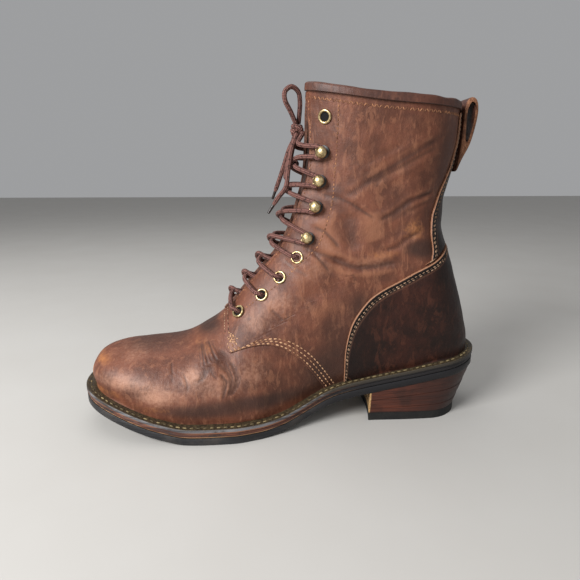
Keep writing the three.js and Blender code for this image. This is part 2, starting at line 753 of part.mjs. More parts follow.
function tongue() {
  const outer = -leatherWall - bindingThickness - 2 * fitGap;
  const half = throatHalfHigh + tongueOverlap;
  const low = throatHalfLow + tongueOverlap;
  const top = sectionColumn.topZ(sectionRows.length - 1) * bootHeight - tongueDrop;
  const outline = [
    [-low, throatBase - tongueTuck],
    [low, throatBase - tongueTuck],
    [half, throatFull],
    [half, top],
    [-half, top],
    [-half, throatFull],
  ];
  const front = frontX(throatBase) - tongueTuck;
  return shell(outer - tongueThickness, outer).intersect(frontPrism(outline, front, throatDepth));
}

// The front line of the boot in the side view, and the direction that it faces there
const frontX = (z) => frontLine(z / bootHeight) * soleLength;
const frontLine = smoothColumn(sectionRows, "topX", "topZ");
function frontPoint(z, y, lift) {
  const slope = (frontX(z + 1) - frontX(z - 1)) / 2;
  const facing = new THREE.Vector3(-1, 0, slope).normalize();
  return new THREE.Vector3(frontX(z), y, z).addScaledVector(facing, lift);
}

function eyelet(item) {
  const deep = -(leatherWall + quarterStep);
  const profile = [
    [eyeletHole, deep],
    [eyeletBarrel, deep],
    [eyeletBarrel, 0],
    [eyeletFlange, 0],
    [eyeletLip, eyeletFlangeThickness],
    [eyeletHole, eyeletFlangeThickness / 2],
    [eyeletHole, deep],
  ];
  const points = profile.map(([r, z]) => new THREE.Vector2(r, z));
  const ring = new THREE.LatheGeometry(points, roundSides).rotateX(Math.PI / 2);
  return geometryToSolid(ring.applyMatrix4(seatFrame(item)));
}

function hook(item) {
  const base = new THREE.CylinderGeometry(hookFoot, hookFoot, hookSheet, roundSides);
  base.rotateX(Math.PI / 2).translate(0, 0, hookSheet / 2);
  const neck = new THREE.BoxGeometry(hookSheet, hookWidth, hookReach);
  neck.translate(-hookNeckSet, 0, (hookReach + hookSheet / 2) / 2);
  const cap = [
    new THREE.Vector2(0, hookReach),
    new THREE.Vector2(hookHead, hookReach),
    new THREE.Vector2(hookRim, hookReach + hookShoulder),
    new THREE.Vector2(0, hookReach + hookDome),
  ];
  const head = new THREE.LatheGeometry(cap, roundSides).rotateX(Math.PI / 2);
  const joined = [base, neck, head].map(geometryToSolid).reduce((a, b) => a.add(b));
  return joined.transform(seatFrame(item).toArray());
}

// A round cord along points, as a closed tube with as many sides and steps as are asked for.
function cord(points, steps, sideCount) {
  const curve = new THREE.CatmullRomCurve3(points, false, "centripetal");
  const corners = [];
  for (let i = 0; i < sideCount; i += 1) {
    const turn = (2 * Math.PI * (i + 0.5)) / sideCount;
    corners.push(new THREE.Vector2(Math.cos(turn), Math.sin(turn)).multiplyScalar(laceDiameter / 2));
  }
  const options = { steps, bevelEnabled: false, extrudePath: curve };
  return geometryToSolid(new THREE.ExtrudeGeometry(new THREE.Shape(corners), options));
}

// Beside a piece of hardware, on its throat side: up is +1 above its middle and -1 below.
function besideHardware(item, up) {
  const frame = seatFrame(item);
  const [away, along, normal] = [0, 1, 2].map((i) => new THREE.Vector3().setFromMatrixColumn(frame, i));
  const apart = item.hook ? hookFoot - laceTuck : eyeletFlange;
  const climb = along.z > 0 ? up : -up;
  return item.seat
    .clone()
    .addScaledVector(away, -apart - laceDiameter / 2 - fitGap)
    .addScaledVector(along, climb * laceSpread)
    .addScaledVector(normal, laceDiameter / 2 + (item.hook ? hookSheet + 2 * fitGap : laceClearance));
}

// Two strands over the throat, from one row of hardware to the next, joined where they cross.
function laceCrossing(low, high, bulge) {
  const strands = sides.map(([label, side]) => {
    const from = hardware.find((item) => item.name === `${low}_${label}`);
    const to = hardware.find((item) => item.name === `${high}_${side < 0 ? "medial" : "lateral"}`);
    const start = besideHardware(from, 1);
    const end = besideHardware(to, -1);
    const over = quarterStep + laceDiameter / 2 + laceLift;
    const at = (share) => start.z + (end.z - start.z) * share;
    const edge = (share, edgeSide) =>
      frontPoint(at(share), edgeSide * (throatHalf(at(share)) - laceEdgeSet), over);
    const middle = frontPoint(at(0.5), 0, over + bulge);
    const path = [start, edge(laceEdgeShare, side), middle, edge(1 - laceEdgeShare, -side), end];
    return cord(path, crossingSteps, crossingSides);
  });
  return strands[0].add(strands[1]);
}

// Side view of the pull loop: a folded strap with a gap for a finger, as places from its foot
const loopOutside = [
  { back: 0, up: 0 },
  { back: 1.5, up: 10 },
  { back: 2, up: 22 },
  { back: 2.4, up: 33 },
  { back: 3.2, up: 40 },
  { back: 6.4, up: 44 },
  { back: 10.8, up: 42.4 },
  { back: 12.8, up: 35 },
  { back: 12.5, up: 24 },
  { back: 9.6, up: 11 },
  { back: 3.2, up: 0 },
];
const loopInside = [
  { back: 4.7, up: 13 },
  { back: 4, up: 22 },
  { back: 4.2, up: 33 },
  { back: 5.2, up: 39.8 },
  { back: 7.6, up: 41.8 },
  { back: 10.2, up: 39.8 },
  { back: 10.8, up: 33 },
  { back: 10.2, up: 22 },
  { back: 7.9, up: 13 },
];
function pullLoop() {
  const behind = quarterStep + fitGap + backstayThickness + seatGap + fitGap;
  const foot = new THREE.Vector2(backX(pullFoot) + behind, pullFoot);
  const place = (row) => foot.clone().add(new THREE.Vector2(row.back, row.up));
  const path = (rows) => new THREE.SplineCurve(rows.map(place));
  const around = path(loopOutside).getPoints(pullRoundSteps);
  const hole = path([...loopInside, loopInside[0]]).getPoints(pullGapSteps).slice(1);
  const shape = new THREE.Shape(around);
  shape.holes.push(new THREE.Path(hole.reverse()));
  const strap = new THREE.ExtrudeGeometry(shape, { depth: pullStrapWidth, bevelEnabled: false });
  strap.rotateX(Math.PI / 2).translate(0, pullStrapWidth / 2, 0);
  return geometryToSolid(strap);
}
const backX = (z) => backLine(z / bootHeight) * soleLength;
const backLine = smoothColumn(sectionRows.slice(cornerRow), "backX", "backZ");

// The bow: a knot in front of the top hooks, a loop that stands, one that hangs, and two ends
const knotPlace = { z: 222, y: -3, lift: 7 };
const knotSize = { wide: 7.4, tall: 4.6, deep: 4.2 };
const bowCords = {
  lace_loop_up: [
    { x: -1.5, y: -3, z: 6 },
    { x: -5, y: -5, z: 13 },
    { x: -8, y: -7, z: 21 },
    { x: -6.4, y: -8, z: 25.5 },
    { x: -2, y: -8, z: 24.5 },
    { x: 0.6, y: -6, z: 19 },
    { x: 1.4, y: -4, z: 12 },
    { x: 1.6, y: 0.6, z: 6.2, end: true },
  ],
  lace_loop_down: [
    { x: -2.4, y: 1, z: -6.2 },
    { x: -4, y: 3, z: -14 },
    { x: -6, y: 4.6, z: -24 },
    { x: -7.4, y: 3.6, z: -31 },
    { x: -7, y: 0.4, z: -33.4 },
    { x: -6, y: -1.6, z: -27 },
    { x: -4.2, y: -2.4, z: -17 },
    { x: -1.6, y: -3.4, z: -7.2, end: true },
  ],
  lace_end_lateral: [
    { x: -1, y: -8.4, z: -5.4 },
    { x: -4.6, y: -9, z: -14 },
    { x: -7, y: -10, z: -28 },
    { x: -9, y: -11.4, z: -41 },
    { x: -15, y: -13, z: -49 },
    { x: -21, y: -14.5, z: -58 },
  ],
  lace_end_medial: [
    { x: 0, y: 8.6, z: -5.4 },
    { x: -4.8, y: 12, z: -13 },
    { x: -9, y: 15, z: -26 },
    { x: -13, y: 17.4, z: -38 },
    { x: -17, y: 18.4, z: -49 },
  ],
};
function laceKnot() {
  const knot = new THREE.SphereGeometry(1, bowSides + 2, bowSides - 1);
  knot.scale(knotSize.deep, knotSize.wide, knotSize.tall);
  return geometryToSolid(knot.translate(...bowOrigin.toArray()));
}
const bowOrigin = frontPoint(knotPlace.z, knotPlace.y, knotPlace.lift);
const bowPoint = (row) => bowOrigin.clone().add(new THREE.Vector3(row.x, row.y, row.z));

// A cord's first point, moved to where its flat end just clears the knot.
function besideKnot(row) {
  const size = new THREE.Vector3(knotSize.deep, knotSize.wide, knotSize.tall);
  const way = new THREE.Vector3(row.x, row.y, row.z);
  const onSurface = way.clone().divideScalar(way.clone().divide(size).length());
  return bowOrigin.clone().add(onSurface.addScaledVector(way.normalize(), knotGap));
}

// The two strands from the top hooks up to the knot, joined under it.
function laceLeads() {
  const over = quarterStep + laceDiameter / 2 + laceLift;
  const top = hardwareRows.at(-2).name;
  const strands = sides.map(([label, side]) => {
    const start = besideHardware(hardware.find((item) => item.name === `${top}_${label}`), 1);
    const edge = frontPoint(start.z + laceSpread, side * (throatHalf(start.z) - laceEdgeSet), over);
    const end = bowPoint({ x: knotSize.deep + laceDiameter / 2 + fitGap, y: 0, z: -leadDrop });
    return cord([start, edge, end], crossingSteps, crossingSides);
  });
  return strands[0].add(strands[1]);
}

const colours = {
  leather: 0x5b3527,
  counter: 0x4a2a20,
  lining: 0x6b4a36,
  rubber: 0x24211f,
  edge: 0x2e2823,
  midsole: 0x6a3a26,
  stack: 0x6e3824,
  brass: 0xb49a5a,
  lace: 0x3f2a2a,
};

const boot = new THREE.Group();
function addPiece(name, solid, colour, roughness = 0.6, metalness = 0) {
  const material = new THREE.MeshStandardMaterial({ color: colours[colour], roughness, metalness });
  const mesh = new THREE.Mesh(solidToGeometry(solid), material);
  mesh.name = name;
  boot.add(mesh);
}

addPiece("outsole", outsole(), "rubber", 0.8);
addPiece("midsole", midsole(), "midsole", 0.6);
addPiece("welt", welt(), "edge", 0.7);
for (let i = 0; i < heelLiftCount; i += 1) {
  const lift = heelSlab(i / heelLiftCount, (i + 1) / heelLiftCount, liftStep * (i % 2));
  addPiece(`heel_lift_${i + 1}`, lift, "stack", 0.5);
}
addPiece("heel_cap", heelSlab(-1, 0, 0), "rubber", 0.8);
addPiece("insole", insole(), "lining", 0.8);
addPiece("upper", upper(), "leather", 0.55);
addPiece("counter", counter(), "counter", 0.5);
addPiece("backstay", backstay(), "counter", 0.5);
addPiece("collar_binding", collarBinding(), "leather", 0.5);
addPiece("tongue", tongue(), "leather", 0.6);
for (const item of hardware) {
  addPiece(item.name, item.hook ? hook(item) : eyelet(item), "brass", 0.35, 1);
}

hardwareRows.slice(1, -1).forEach((row, i) => {
  const below = hardwareRows[i];
  addPiece(`lace_crossing_${i + 1}`, laceCrossing(below.name, row.name, below.bulge), "lace", 0.8);
});
addPiece(`lace_crossing_${hardwareRows.length - 1}`, laceLeads(), "lace", 0.8);
addPiece("lace_knot", laceKnot(), "lace", 0.8);
for (const [name, rows] of Object.entries(bowCords)) {
  const path = rows.map((row, i) => (i === 0 || row.end ? besideKnot(row) : bowPoint(row)));
  addPiece(name, cord(path, bowSteps, bowSides), "lace", 0.8);
}
addPiece("pull_loop", pullLoop(), "counter", 0.6);

const outline = new THREE.Box3().setFromObject(boot.getObjectByName("welt"));
const middle = outline.getCenter(new THREE.Vector3());
boot.position.set(-middle.x, -middle.y, 0);

export default boot;
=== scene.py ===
# A left logger boot: leather panels, seams, welted sole, stacked heel, brass and lace, dressed round
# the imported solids. Sizes are in millimetres in the boot's own frame, with x = 0 at the tip of the
# toe and y = 0 on the line from heel to toe; toRow turns them into the frame's metres.
import math
import bpy
import numpy as np
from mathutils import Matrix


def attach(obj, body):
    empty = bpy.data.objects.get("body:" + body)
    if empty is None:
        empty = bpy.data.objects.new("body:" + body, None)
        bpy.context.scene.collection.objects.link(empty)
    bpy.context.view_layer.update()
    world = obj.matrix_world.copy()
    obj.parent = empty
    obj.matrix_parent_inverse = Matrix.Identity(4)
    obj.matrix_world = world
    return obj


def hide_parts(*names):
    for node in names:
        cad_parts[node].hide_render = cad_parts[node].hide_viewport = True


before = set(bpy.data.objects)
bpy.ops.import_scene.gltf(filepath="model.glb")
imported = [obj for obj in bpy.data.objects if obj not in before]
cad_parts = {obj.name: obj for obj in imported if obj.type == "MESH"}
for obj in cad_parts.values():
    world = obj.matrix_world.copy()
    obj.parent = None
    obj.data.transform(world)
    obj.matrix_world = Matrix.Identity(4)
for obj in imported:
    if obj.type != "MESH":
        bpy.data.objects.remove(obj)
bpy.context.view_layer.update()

print("frame loaded")


# Camera, floor and light
view = {"place": (-22.1, -369.1, 190.0), "turn": -4.2, "down": 13.47, "lens": 29.8, "sensor": 36.0}
lights = {
    "window": {"place": (-0.85, -0.75, 0.7), "aim": (-0.05, 0.0, 0.09), "size": 0.6, "power": 24.0},
    "fill": {"place": (0.4, -1.1, 0.7), "aim": (0.0, 0.0, 0.12), "size": 1.2, "power": 1.6},
    "sky": {"place": (-0.3, 0.4, 1.3), "aim": (-0.05, 0.0, 0.1), "size": 1.2, "power": 5.0},
}


def addCamera():
    data = bpy.data.cameras.new("camera")
    data.lens = view["lens"]
    data.sensor_width = view["sensor"]
    eye = bpy.data.objects.new("camera", data)
    eye.location = [value / 1000 for value in view["place"]]
    eye.rotation_euler = [math.radians(90 - view["down"]), 0.0, math.radians(view["turn"])]
    bpy.context.scene.collection.objects.link(eye)
    bpy.context.scene.camera = eye


def addLight(name, place, aim, size, power):
    data = bpy.data.lights.new(name, "AREA")
    data.shape = "DISK"
    data.size = size
    data.energy = power
    lamp = bpy.data.objects.new(name, data)
    way = np.array(aim) - np.array(place)
    lamp.location = place
    lamp.rotation_euler = [
        math.acos(-way[2] / np.linalg.norm(way)),
        0.0,
        math.atan2(way[1], way[0]) - math.pi / 2,
    ]
    bpy.context.scene.collection.objects.link(lamp)


addCamera()
for lightName, light in lights.items():
    addLight(lightName, **light)
around = {"Color": (0.97, 0.98, 1.0, 1.0), "Strength": 0.35}
world = bpy.data.worlds.new("studio")
world.use_nodes = True
for socketName, setting in around.items():
    world.node_tree.nodes["Background"].inputs[socketName].default_value = setting
bpy.context.scene.world = world
bpy.context.scene.view_settings.view_transform = "Standard"
print("camera and lights placed")


# Shader building
# A number that a shader works out; arithmetic on it adds Math nodes.
class Value:
    def __init__(self, finish, socket):
        self.finish = finish
        self.socket = socket

    def math(self, operation, *others):
        parts = dict(enumerate([self, *others]))
        return self.finish.value("ShaderNodeMath", {"operation": operation}, parts)

    def __add__(self, other):
        return self.math("ADD", other)

    def __sub__(self, other):
        return self.math("SUBTRACT", other)

    def __rsub__(self, other):
        return self.finish.value("ShaderNodeMath", {"operation": "SUBTRACT"}, {0: other, 1: self})

    def __mul__(self, other):
        return self.math("MULTIPLY", other)

    __radd__ = __add__
    __rmul__ = __mul__

    # 0 below low, 1 above high and a soft step in between.
    def between(self, low, high):
        settings = {"interpolation_type": "SMOOTHSTEP"}
        return self.finish.value("ShaderNodeMapRange", settings, {0: self, 1: low, 2: high})


# One material: a Principled shader and the nodes that feed it.
class Finish:
    def __init__(self, name, **fixed):
        self.material = bpy.data.materials.new(name)
        self.material.use_nodes = True
        self.tree = self.material.node_tree
        self.shader = self.tree.nodes["Principled BSDF"]
        for socket, number in fixed.items():
            self.shader.inputs[socket.replace("_", " ")].default_value = number
        self.coords = self.node("ShaderNodeTexCoord").outputs["Object"]

    def node(self, kind, settings=None, inputs=None):
        made = self.tree.nodes.new(kind)
        for name, setting in (settings or {}).items():
            setattr(made, name, setting)
        for key, given in (inputs or {}).items():
            given = given.socket if isinstance(given, Value) else given
            if isinstance(given, bpy.types.NodeSocket):
                self.tree.links.new(given, made.inputs[key])
            else:
                made.inputs[key].default_value = given
        return made

    def value(self, kind, settings=None, inputs=None, output=0):
        return Value(self, self.node(kind, settings, inputs).outputs[output])

    def noise(self, scale, detail=3.0, rough=0.55, coords=None, warp=0.0):
        inputs = {"Vector": coords or self.coords, "Scale": scale, "Detail": detail}
        inputs.update({"Roughness": rough, "Distortion": warp})
        return self.value("ShaderNodeTexNoise", None, inputs)

    def cells(self, scale):
        inputs = {"Vector": self.coords, "Scale": scale}
        return self.value("ShaderNodeTexVoronoi", {"feature": "F1"}, inputs)

    def stretched(self, scale, turn=(0.0, 0.0, 0.0)):
        inputs = {"Vector": self.coords, "Scale": scale, "Rotation": turn}
        return self.node("ShaderNodeMapping", None, inputs).outputs[0]

    def field(self, name):
        return self.value("ShaderNodeAttribute", {"attribute_name": name}, None, "Fac")

    def mix(self, share, first, second):
        inputs = {0: share, 6: paint(first), 7: paint(second)}
        return self.node("ShaderNodeMix", {"data_type": "RGBA"}, inputs).outputs[2]

    def finish(self, colour, roughness, height=None, depth=0.0002, strength=1.0):
        self.tree.links.new(colour, self.shader.inputs["Base Color"])
        if isinstance(roughness, Value):
            self.tree.links.new(roughness.socket, self.shader.inputs["Roughness"])
        else:
            self.shader.inputs["Roughness"].default_value = roughness
        if height is not None:
            inputs = {"Height": height, "Distance": depth, "Strength": strength}
            bump = self.node("ShaderNodeBump", None, inputs)
            self.tree.links.new(bump.outputs[0], self.shader.inputs["Normal"])
        return self.material


# A colour of three shares of 255, as screens show it, as linear light.
def paint(colour):
    if not isinstance(colour, tuple):
        return colour
    shares = [value / 255 for value in colour]
    return tuple(s / 12.92 if s < 0.04 else ((s + 0.055) / 1.055) ** 2.4 for s in shares) + (1.0,)


# The last: the same tables as the solids, worked out on fine grids
last = {
    "length": 315.0, "ball": 111.0, "height": 252.0, "heelRise": 41.5, "toeSpring": 20.0,
    "toeRound": 84.0, "toeFullness": 2.35, "heelRound": 36.0, "heelFullness": 2.1, "ledge": 9.0,
    "outsole": 5.5, "midsole": 3.4, "welt": 3.6, "wall": 2.4, "quarter": 1.3, "seat": 0.6,
    "twist": 0.12, "dip": 4.0, "throatBase": 86.0, "throatFull": 189.0, "throatLow": 8.0,
    "throatHigh": 18.0, "throatFoot": 4.8, "throatShoulder": 6.4,
}
edgeThickness = last["outsole"] + last["midsole"] + last["welt"]


def table(names, rows):
    return dict(zip(names.split(), np.array(rows, float).T))


plan = table("along lateral medial ledge", [
    (0.0, 0.5, 0.415, 0.82), (0.2, 0.528, 0.432, 0.9), (0.31, 0.556, 0.442, 0.95),
    (0.37, 0.552, 0.43, 0.95), (0.43, 0.512, 0.39, 0.95), (0.5, 0.435, 0.325, 0.97),
    (0.56, 0.365, 0.275, 1.0), (0.63, 0.33, 0.25, 1.0), (0.72, 0.33, 0.29, 1.0),
    (0.82, 0.336, 0.326, 1.0), (0.92, 0.33, 0.326, 1.0), (1.0, 0.315, 0.315, 1.04),
])
profile = table("along toe heel", [
    (0.0, 1.0, 0), (0.05, 0.84, 0), (0.1, 0.64, 0), (0.15, 0.4, 0), (0.2, 0.18, 0), (0.27, 0, 0),
    (0.43, 0, 0), (0.48, 0, 0.035), (0.54, 0, 0.17), (0.6, 0, 0.37), (0.66, 0, 0.51),
    (0.72, 0, 0.605), (0.8, 0, 0.725), (0.9, 0, 0.875), (1.0, 0, 1.0),
])
footTable = table("at topX topZ foot outer inner wide crown flat", [
    (0.0, 0.026, 0.13, 1.0, 0, 0, 0.3, 2.2, 1), (0.0064, 0.0185, 0.165, 1.0, 0, 0, 0.3, 2.3, 1),
    (0.0216, 0.029, 0.2, 1.0, 0, 0, 0.3, 2.4, 1), (0.052, 0.056, 0.226, 1.005, 0, 0, 0.28, 2.35, 1),
    (0.099, 0.097, 0.24, 1.01, 0, 0, 0.25, 2.3, 1), (0.16, 0.148, 0.248, 1.01, 0, 0, 0.22, 2.25, 1),
    (0.2274, 0.202, 0.253, 1.01, 0, 0, 0.2, 2.15, 1),
    (0.295, 0.2516, 0.266, 1.015, 0, 0, 0.18, 2.05, 1),
    (0.3623, 0.2997, 0.297, 1.02, 0, 0, 0.17, 1.95, 0.995),
    (0.43, 0.352, 0.34, 0, 0.45, 0.345, 0.17, 1.85, 0.985),
    (0.497, 0.404, 0.41, 0, 0.39, 0.315, 0.24, 1.85, 0.97),
    (0.5715, 0.451, 0.478, 0, 0.34, 0.3, 0.33, 1.95, 0.955),
    (0.659, 0.493, 0.548, 0, 0.315, 0.295, 0.38, 2.1, 0.945),
    (0.7537, 0.519, 0.619, 0, 0.305, 0.298, 0.4, 2.3, 0.935),
    (0.848, 0.531, 0.684, 0, 0.305, 0.302, 0.38, 2.4, 0.925),
    (0.929, 0.5395, 0.742, 0, 0.308, 0.306, 0.35, 2.45, 0.92),
    (0.98, 0.545, 0.787, 0, 0.312, 0.312, 0.33, 2.5, 0.915),
    (1.0, 0.55, 0.822, 0, 0.316, 0.316, 0.32, 2.5, 0.91),
])
legTable = table("backX backZ topX topZ half wide crown dip", [
    (0.956, 0.303, 0.553, 0.854, 0.32, 0.32, 2.5, 0), (0.935, 0.4, 0.555, 0.883, 0.324, 0.32, 2.55, 0),
    (0.909, 0.504, 0.556, 0.911, 0.328, 0.32, 2.6, 0), (0.886, 0.603, 0.556, 0.935, 0.332, 0.33, 2.6, 0),
    (0.886, 0.672, 0.557, 0.952, 0.34, 0.34, 2.6, 0), (0.901, 0.758, 0.558, 0.969, 0.355, 0.34, 2.65, 0.1),
    (0.912, 0.85, 0.56, 0.984, 0.37, 0.34, 2.7, 0.5), (0.9165, 0.95, 0.562, 1.0, 0.385, 0.34, 2.8, 1.0),
])
legFlat = 0.905
cornerRow = len(footTable["at"]) - 1
legCount = len(legTable["half"])
lastRow = cornerRow + legCount


# A line through points that never overshoots: each tangent is the harmonic mean of the slopes on
# either side, and 0 where they turn; between points it is a Hermite cubic.
def smooth(x, y):
    x, y = np.array(x, float), np.array(y, float)
    slope = np.diff(y) / np.diff(x)
    product = slope[:-1] * slope[1:]
    total = np.where(product > 0, slope[:-1] + slope[1:], 1.0)
    inner = np.where(product > 0, 2 * product / total, 0.0)
    tangent = np.concatenate([slope[:1], inner, slope[-1:]])

    def line(at):
        at = np.asarray(at, float)
        i = np.clip(np.searchsorted(x, at, side="right") - 1, 0, len(x) - 2)
        width = x[i + 1] - x[i]
        s = np.clip((at - x[i]) / width, 0.0, 1.0)
        h = s * s * (3 - 2 * s)
        rise, fall = s * (1 - s) ** 2 * width, s * s * (s - 1) * width
        return y[i] * (1 - h) + y[i + 1] * h + tangent[i] * rise + tangent[i + 1] * fall

    return line


# 0 below low, 1 above high, with a smooth step in between.
def softStep(low, high, at):
    s = np.clip((at - low) / (high - low), 0.0, 1.0)
    return s * s * (3 - 2 * s)


planLateral = smooth(plan["along"], plan["lateral"])
planMedial = smooth(plan["along"], plan["medial"])
planLedge = smooth(plan["along"], plan["ledge"])
riseToe = smooth(profile["along"], profile["toe"])
riseHeel = smooth(profile["along"], profile["heel"])


def soleBottom(x):
    share = np.asarray(x, float) / last["length"]
    return last["toeSpring"] * riseToe(share) + last["heelRise"] * riseHeel(share)


def seatHeight(x):
    return soleBottom(np.minimum(x, last["length"])) + edgeThickness


# The same inset all along.
def evenInset(distance):
    def inset(x):
        return np.full_like(np.asarray(x, float), distance)

    return inset


def featherInset(x):
    return last["ledge"] * planLedge(np.asarray(x, float) / last["length"])


# Half width of an outline: a smooth share of the ball width, less the inset, rounded off at the
# toe and heel by superellipses.
def halfWidth(x, side, inset):
    def roundEnd(distance, reach, fullness):
        share = np.clip(distance / reach, 0.0, 1.0)
        return (1 - (1 - share) ** fullness) ** (1 / fullness)

    x = np.asarray(x, float)
    atShare = x / last["length"]
    share = np.where(np.asarray(side) < 0, planLateral(atShare), planMedial(atShare))
    front, rear = float(inset(0.0)), float(inset(last["length"]))
    toe = roundEnd(x - front, last["toeRound"] - front, last["toeFullness"])
    heel = roundEnd(last["length"] - rear - x, last["heelRound"] - rear, last["heelFullness"])
    return np.maximum(0.0, share * last["ball"] - inset(x)) * toe * heel


toeFeather = float(featherInset(0.0))
heelFeather = last["length"] - float(featherInset(last["length"]))
rowNumbers = np.arange(lastRow + 1)
legTwist = np.arange(1, legCount + 1) / legCount
footBackX = (toeFeather + footTable["at"] * (heelFeather - toeFeather)) / last["length"]
footZero = np.zeros(cornerRow + 1)
sectionColumns = {
    "backX": np.concatenate([footBackX, legTable["backX"]]),
    "topX": np.concatenate([footTable["topX"], legTable["topX"]]),
    "topZ": np.concatenate([footTable["topZ"], legTable["topZ"]]),
    "foot": np.concatenate([footTable["foot"], np.zeros(legCount)]),
    "outer": np.concatenate([footTable["outer"], legTable["half"]]),
    "inner": np.concatenate([footTable["inner"], legTable["half"]]),
    "wide": np.concatenate([footTable["wide"], legTable["wide"]]),
    "crown": np.concatenate([footTable["crown"], legTable["crown"]]),
    "flat": np.concatenate([footTable["flat"], np.full(legCount, legFlat)]),
    "twist": np.concatenate([footZero, legTwist]),
    "dip": np.concatenate([footZero, legTable["dip"]]),
}
sections = {name: smooth(rowNumbers, values) for name, values in sectionColumns.items()}
cornerZ = float(seatHeight(heelFeather)) / last["height"]
legBackZ = smooth(rowNumbers[cornerRow:], np.concatenate([[cornerZ], legTable["backZ"]]))


# Point of the last's skin. A row is a slanted plane from the back or feather line to the front
# line; turn runs from 0 at the lateral foot over the front at 0.5 to 1 at the medial foot, and
# the half width falls from its widest height to the tip as a superellipse.
def skin(row, turn):
    row, turn = np.broadcast_arrays(np.asarray(row, float), np.asarray(turn, float))
    row = np.clip(row, 0.0, lastRow)
    onSole = row <= cornerRow
    turn = np.where(onSole, np.clip(turn, 0.0, 1.0), turn % 1.0)
    at = {name: line(row) for name, line in sections.items()}
    lateral = turn <= 0.5
    side = np.where(lateral, -1.0, 1.0)
    up = 0.5 - 0.5 * np.cos(2 * np.pi * np.where(lateral, turn, 1 - turn))
    backX = at["backX"] * last["length"]
    backZ = np.where(onSole, seatHeight(backX), legBackZ(row) * last["height"]) + last["seat"]
    foot = np.where(onSole, halfWidth(backX, side, featherInset), 0.0)
    half = foot * at["foot"] + last["ball"] * np.where(lateral, at["outer"], at["inner"])
    base = np.minimum(1.0, foot / np.maximum(half, 1e-6))
    reach = at["wide"] + (1 - at["wide"]) * at["flat"]
    share = np.minimum(up / reach, 1.0)
    above = np.clip((up - at["wide"]) / (1 - at["wide"]), 0.0, 1.0)
    below = np.clip((at["wide"] - up) / at["wide"], 0.0, 1.0)
    outline = np.sqrt(np.maximum(0.0, 1 - above ** at["crown"] - (1 - base**2) * below**2))
    y = side * half * outline
    x = backX + (at["topX"] * last["length"] - backX) * share + last["twist"] * at["twist"] * y
    z = backZ + (at["topZ"] * last["height"] - backZ) * share
    z = z - last["dip"] * at["dip"] * np.sin(np.pi * up)
    return np.stack([x, y, z], -1)


def unit(vectors):
    return vectors / np.maximum(np.linalg.norm(vectors, axis=-1, keepdims=True), 1e-9)


# Outward normal: the cross product of the skin's two directions, level at the foot and collar.
def skinNormal(row, turn):
    row, turn = np.broadcast_arrays(np.asarray(row, float), np.asarray(turn, float))
    row = np.clip(row, 0.05, lastRow - 0.05)
    alongRow = skin(row + 0.04, turn) - skin(row - 0.04, turn)
    alongTurn = skin(row, turn + 0.004) - skin(row, turn - 0.004)
    normal = unit(np.cross(alongRow, alongTurn))
    footward = softStep(0.0, 0.05, np.minimum(turn, 1 - turn))
    rise = np.where(row <= cornerRow, footward, 1 - softStep(lastRow - 1.2, lastRow - 0.1, row))
    normal[..., 2] *= rise
    return unit(normal)


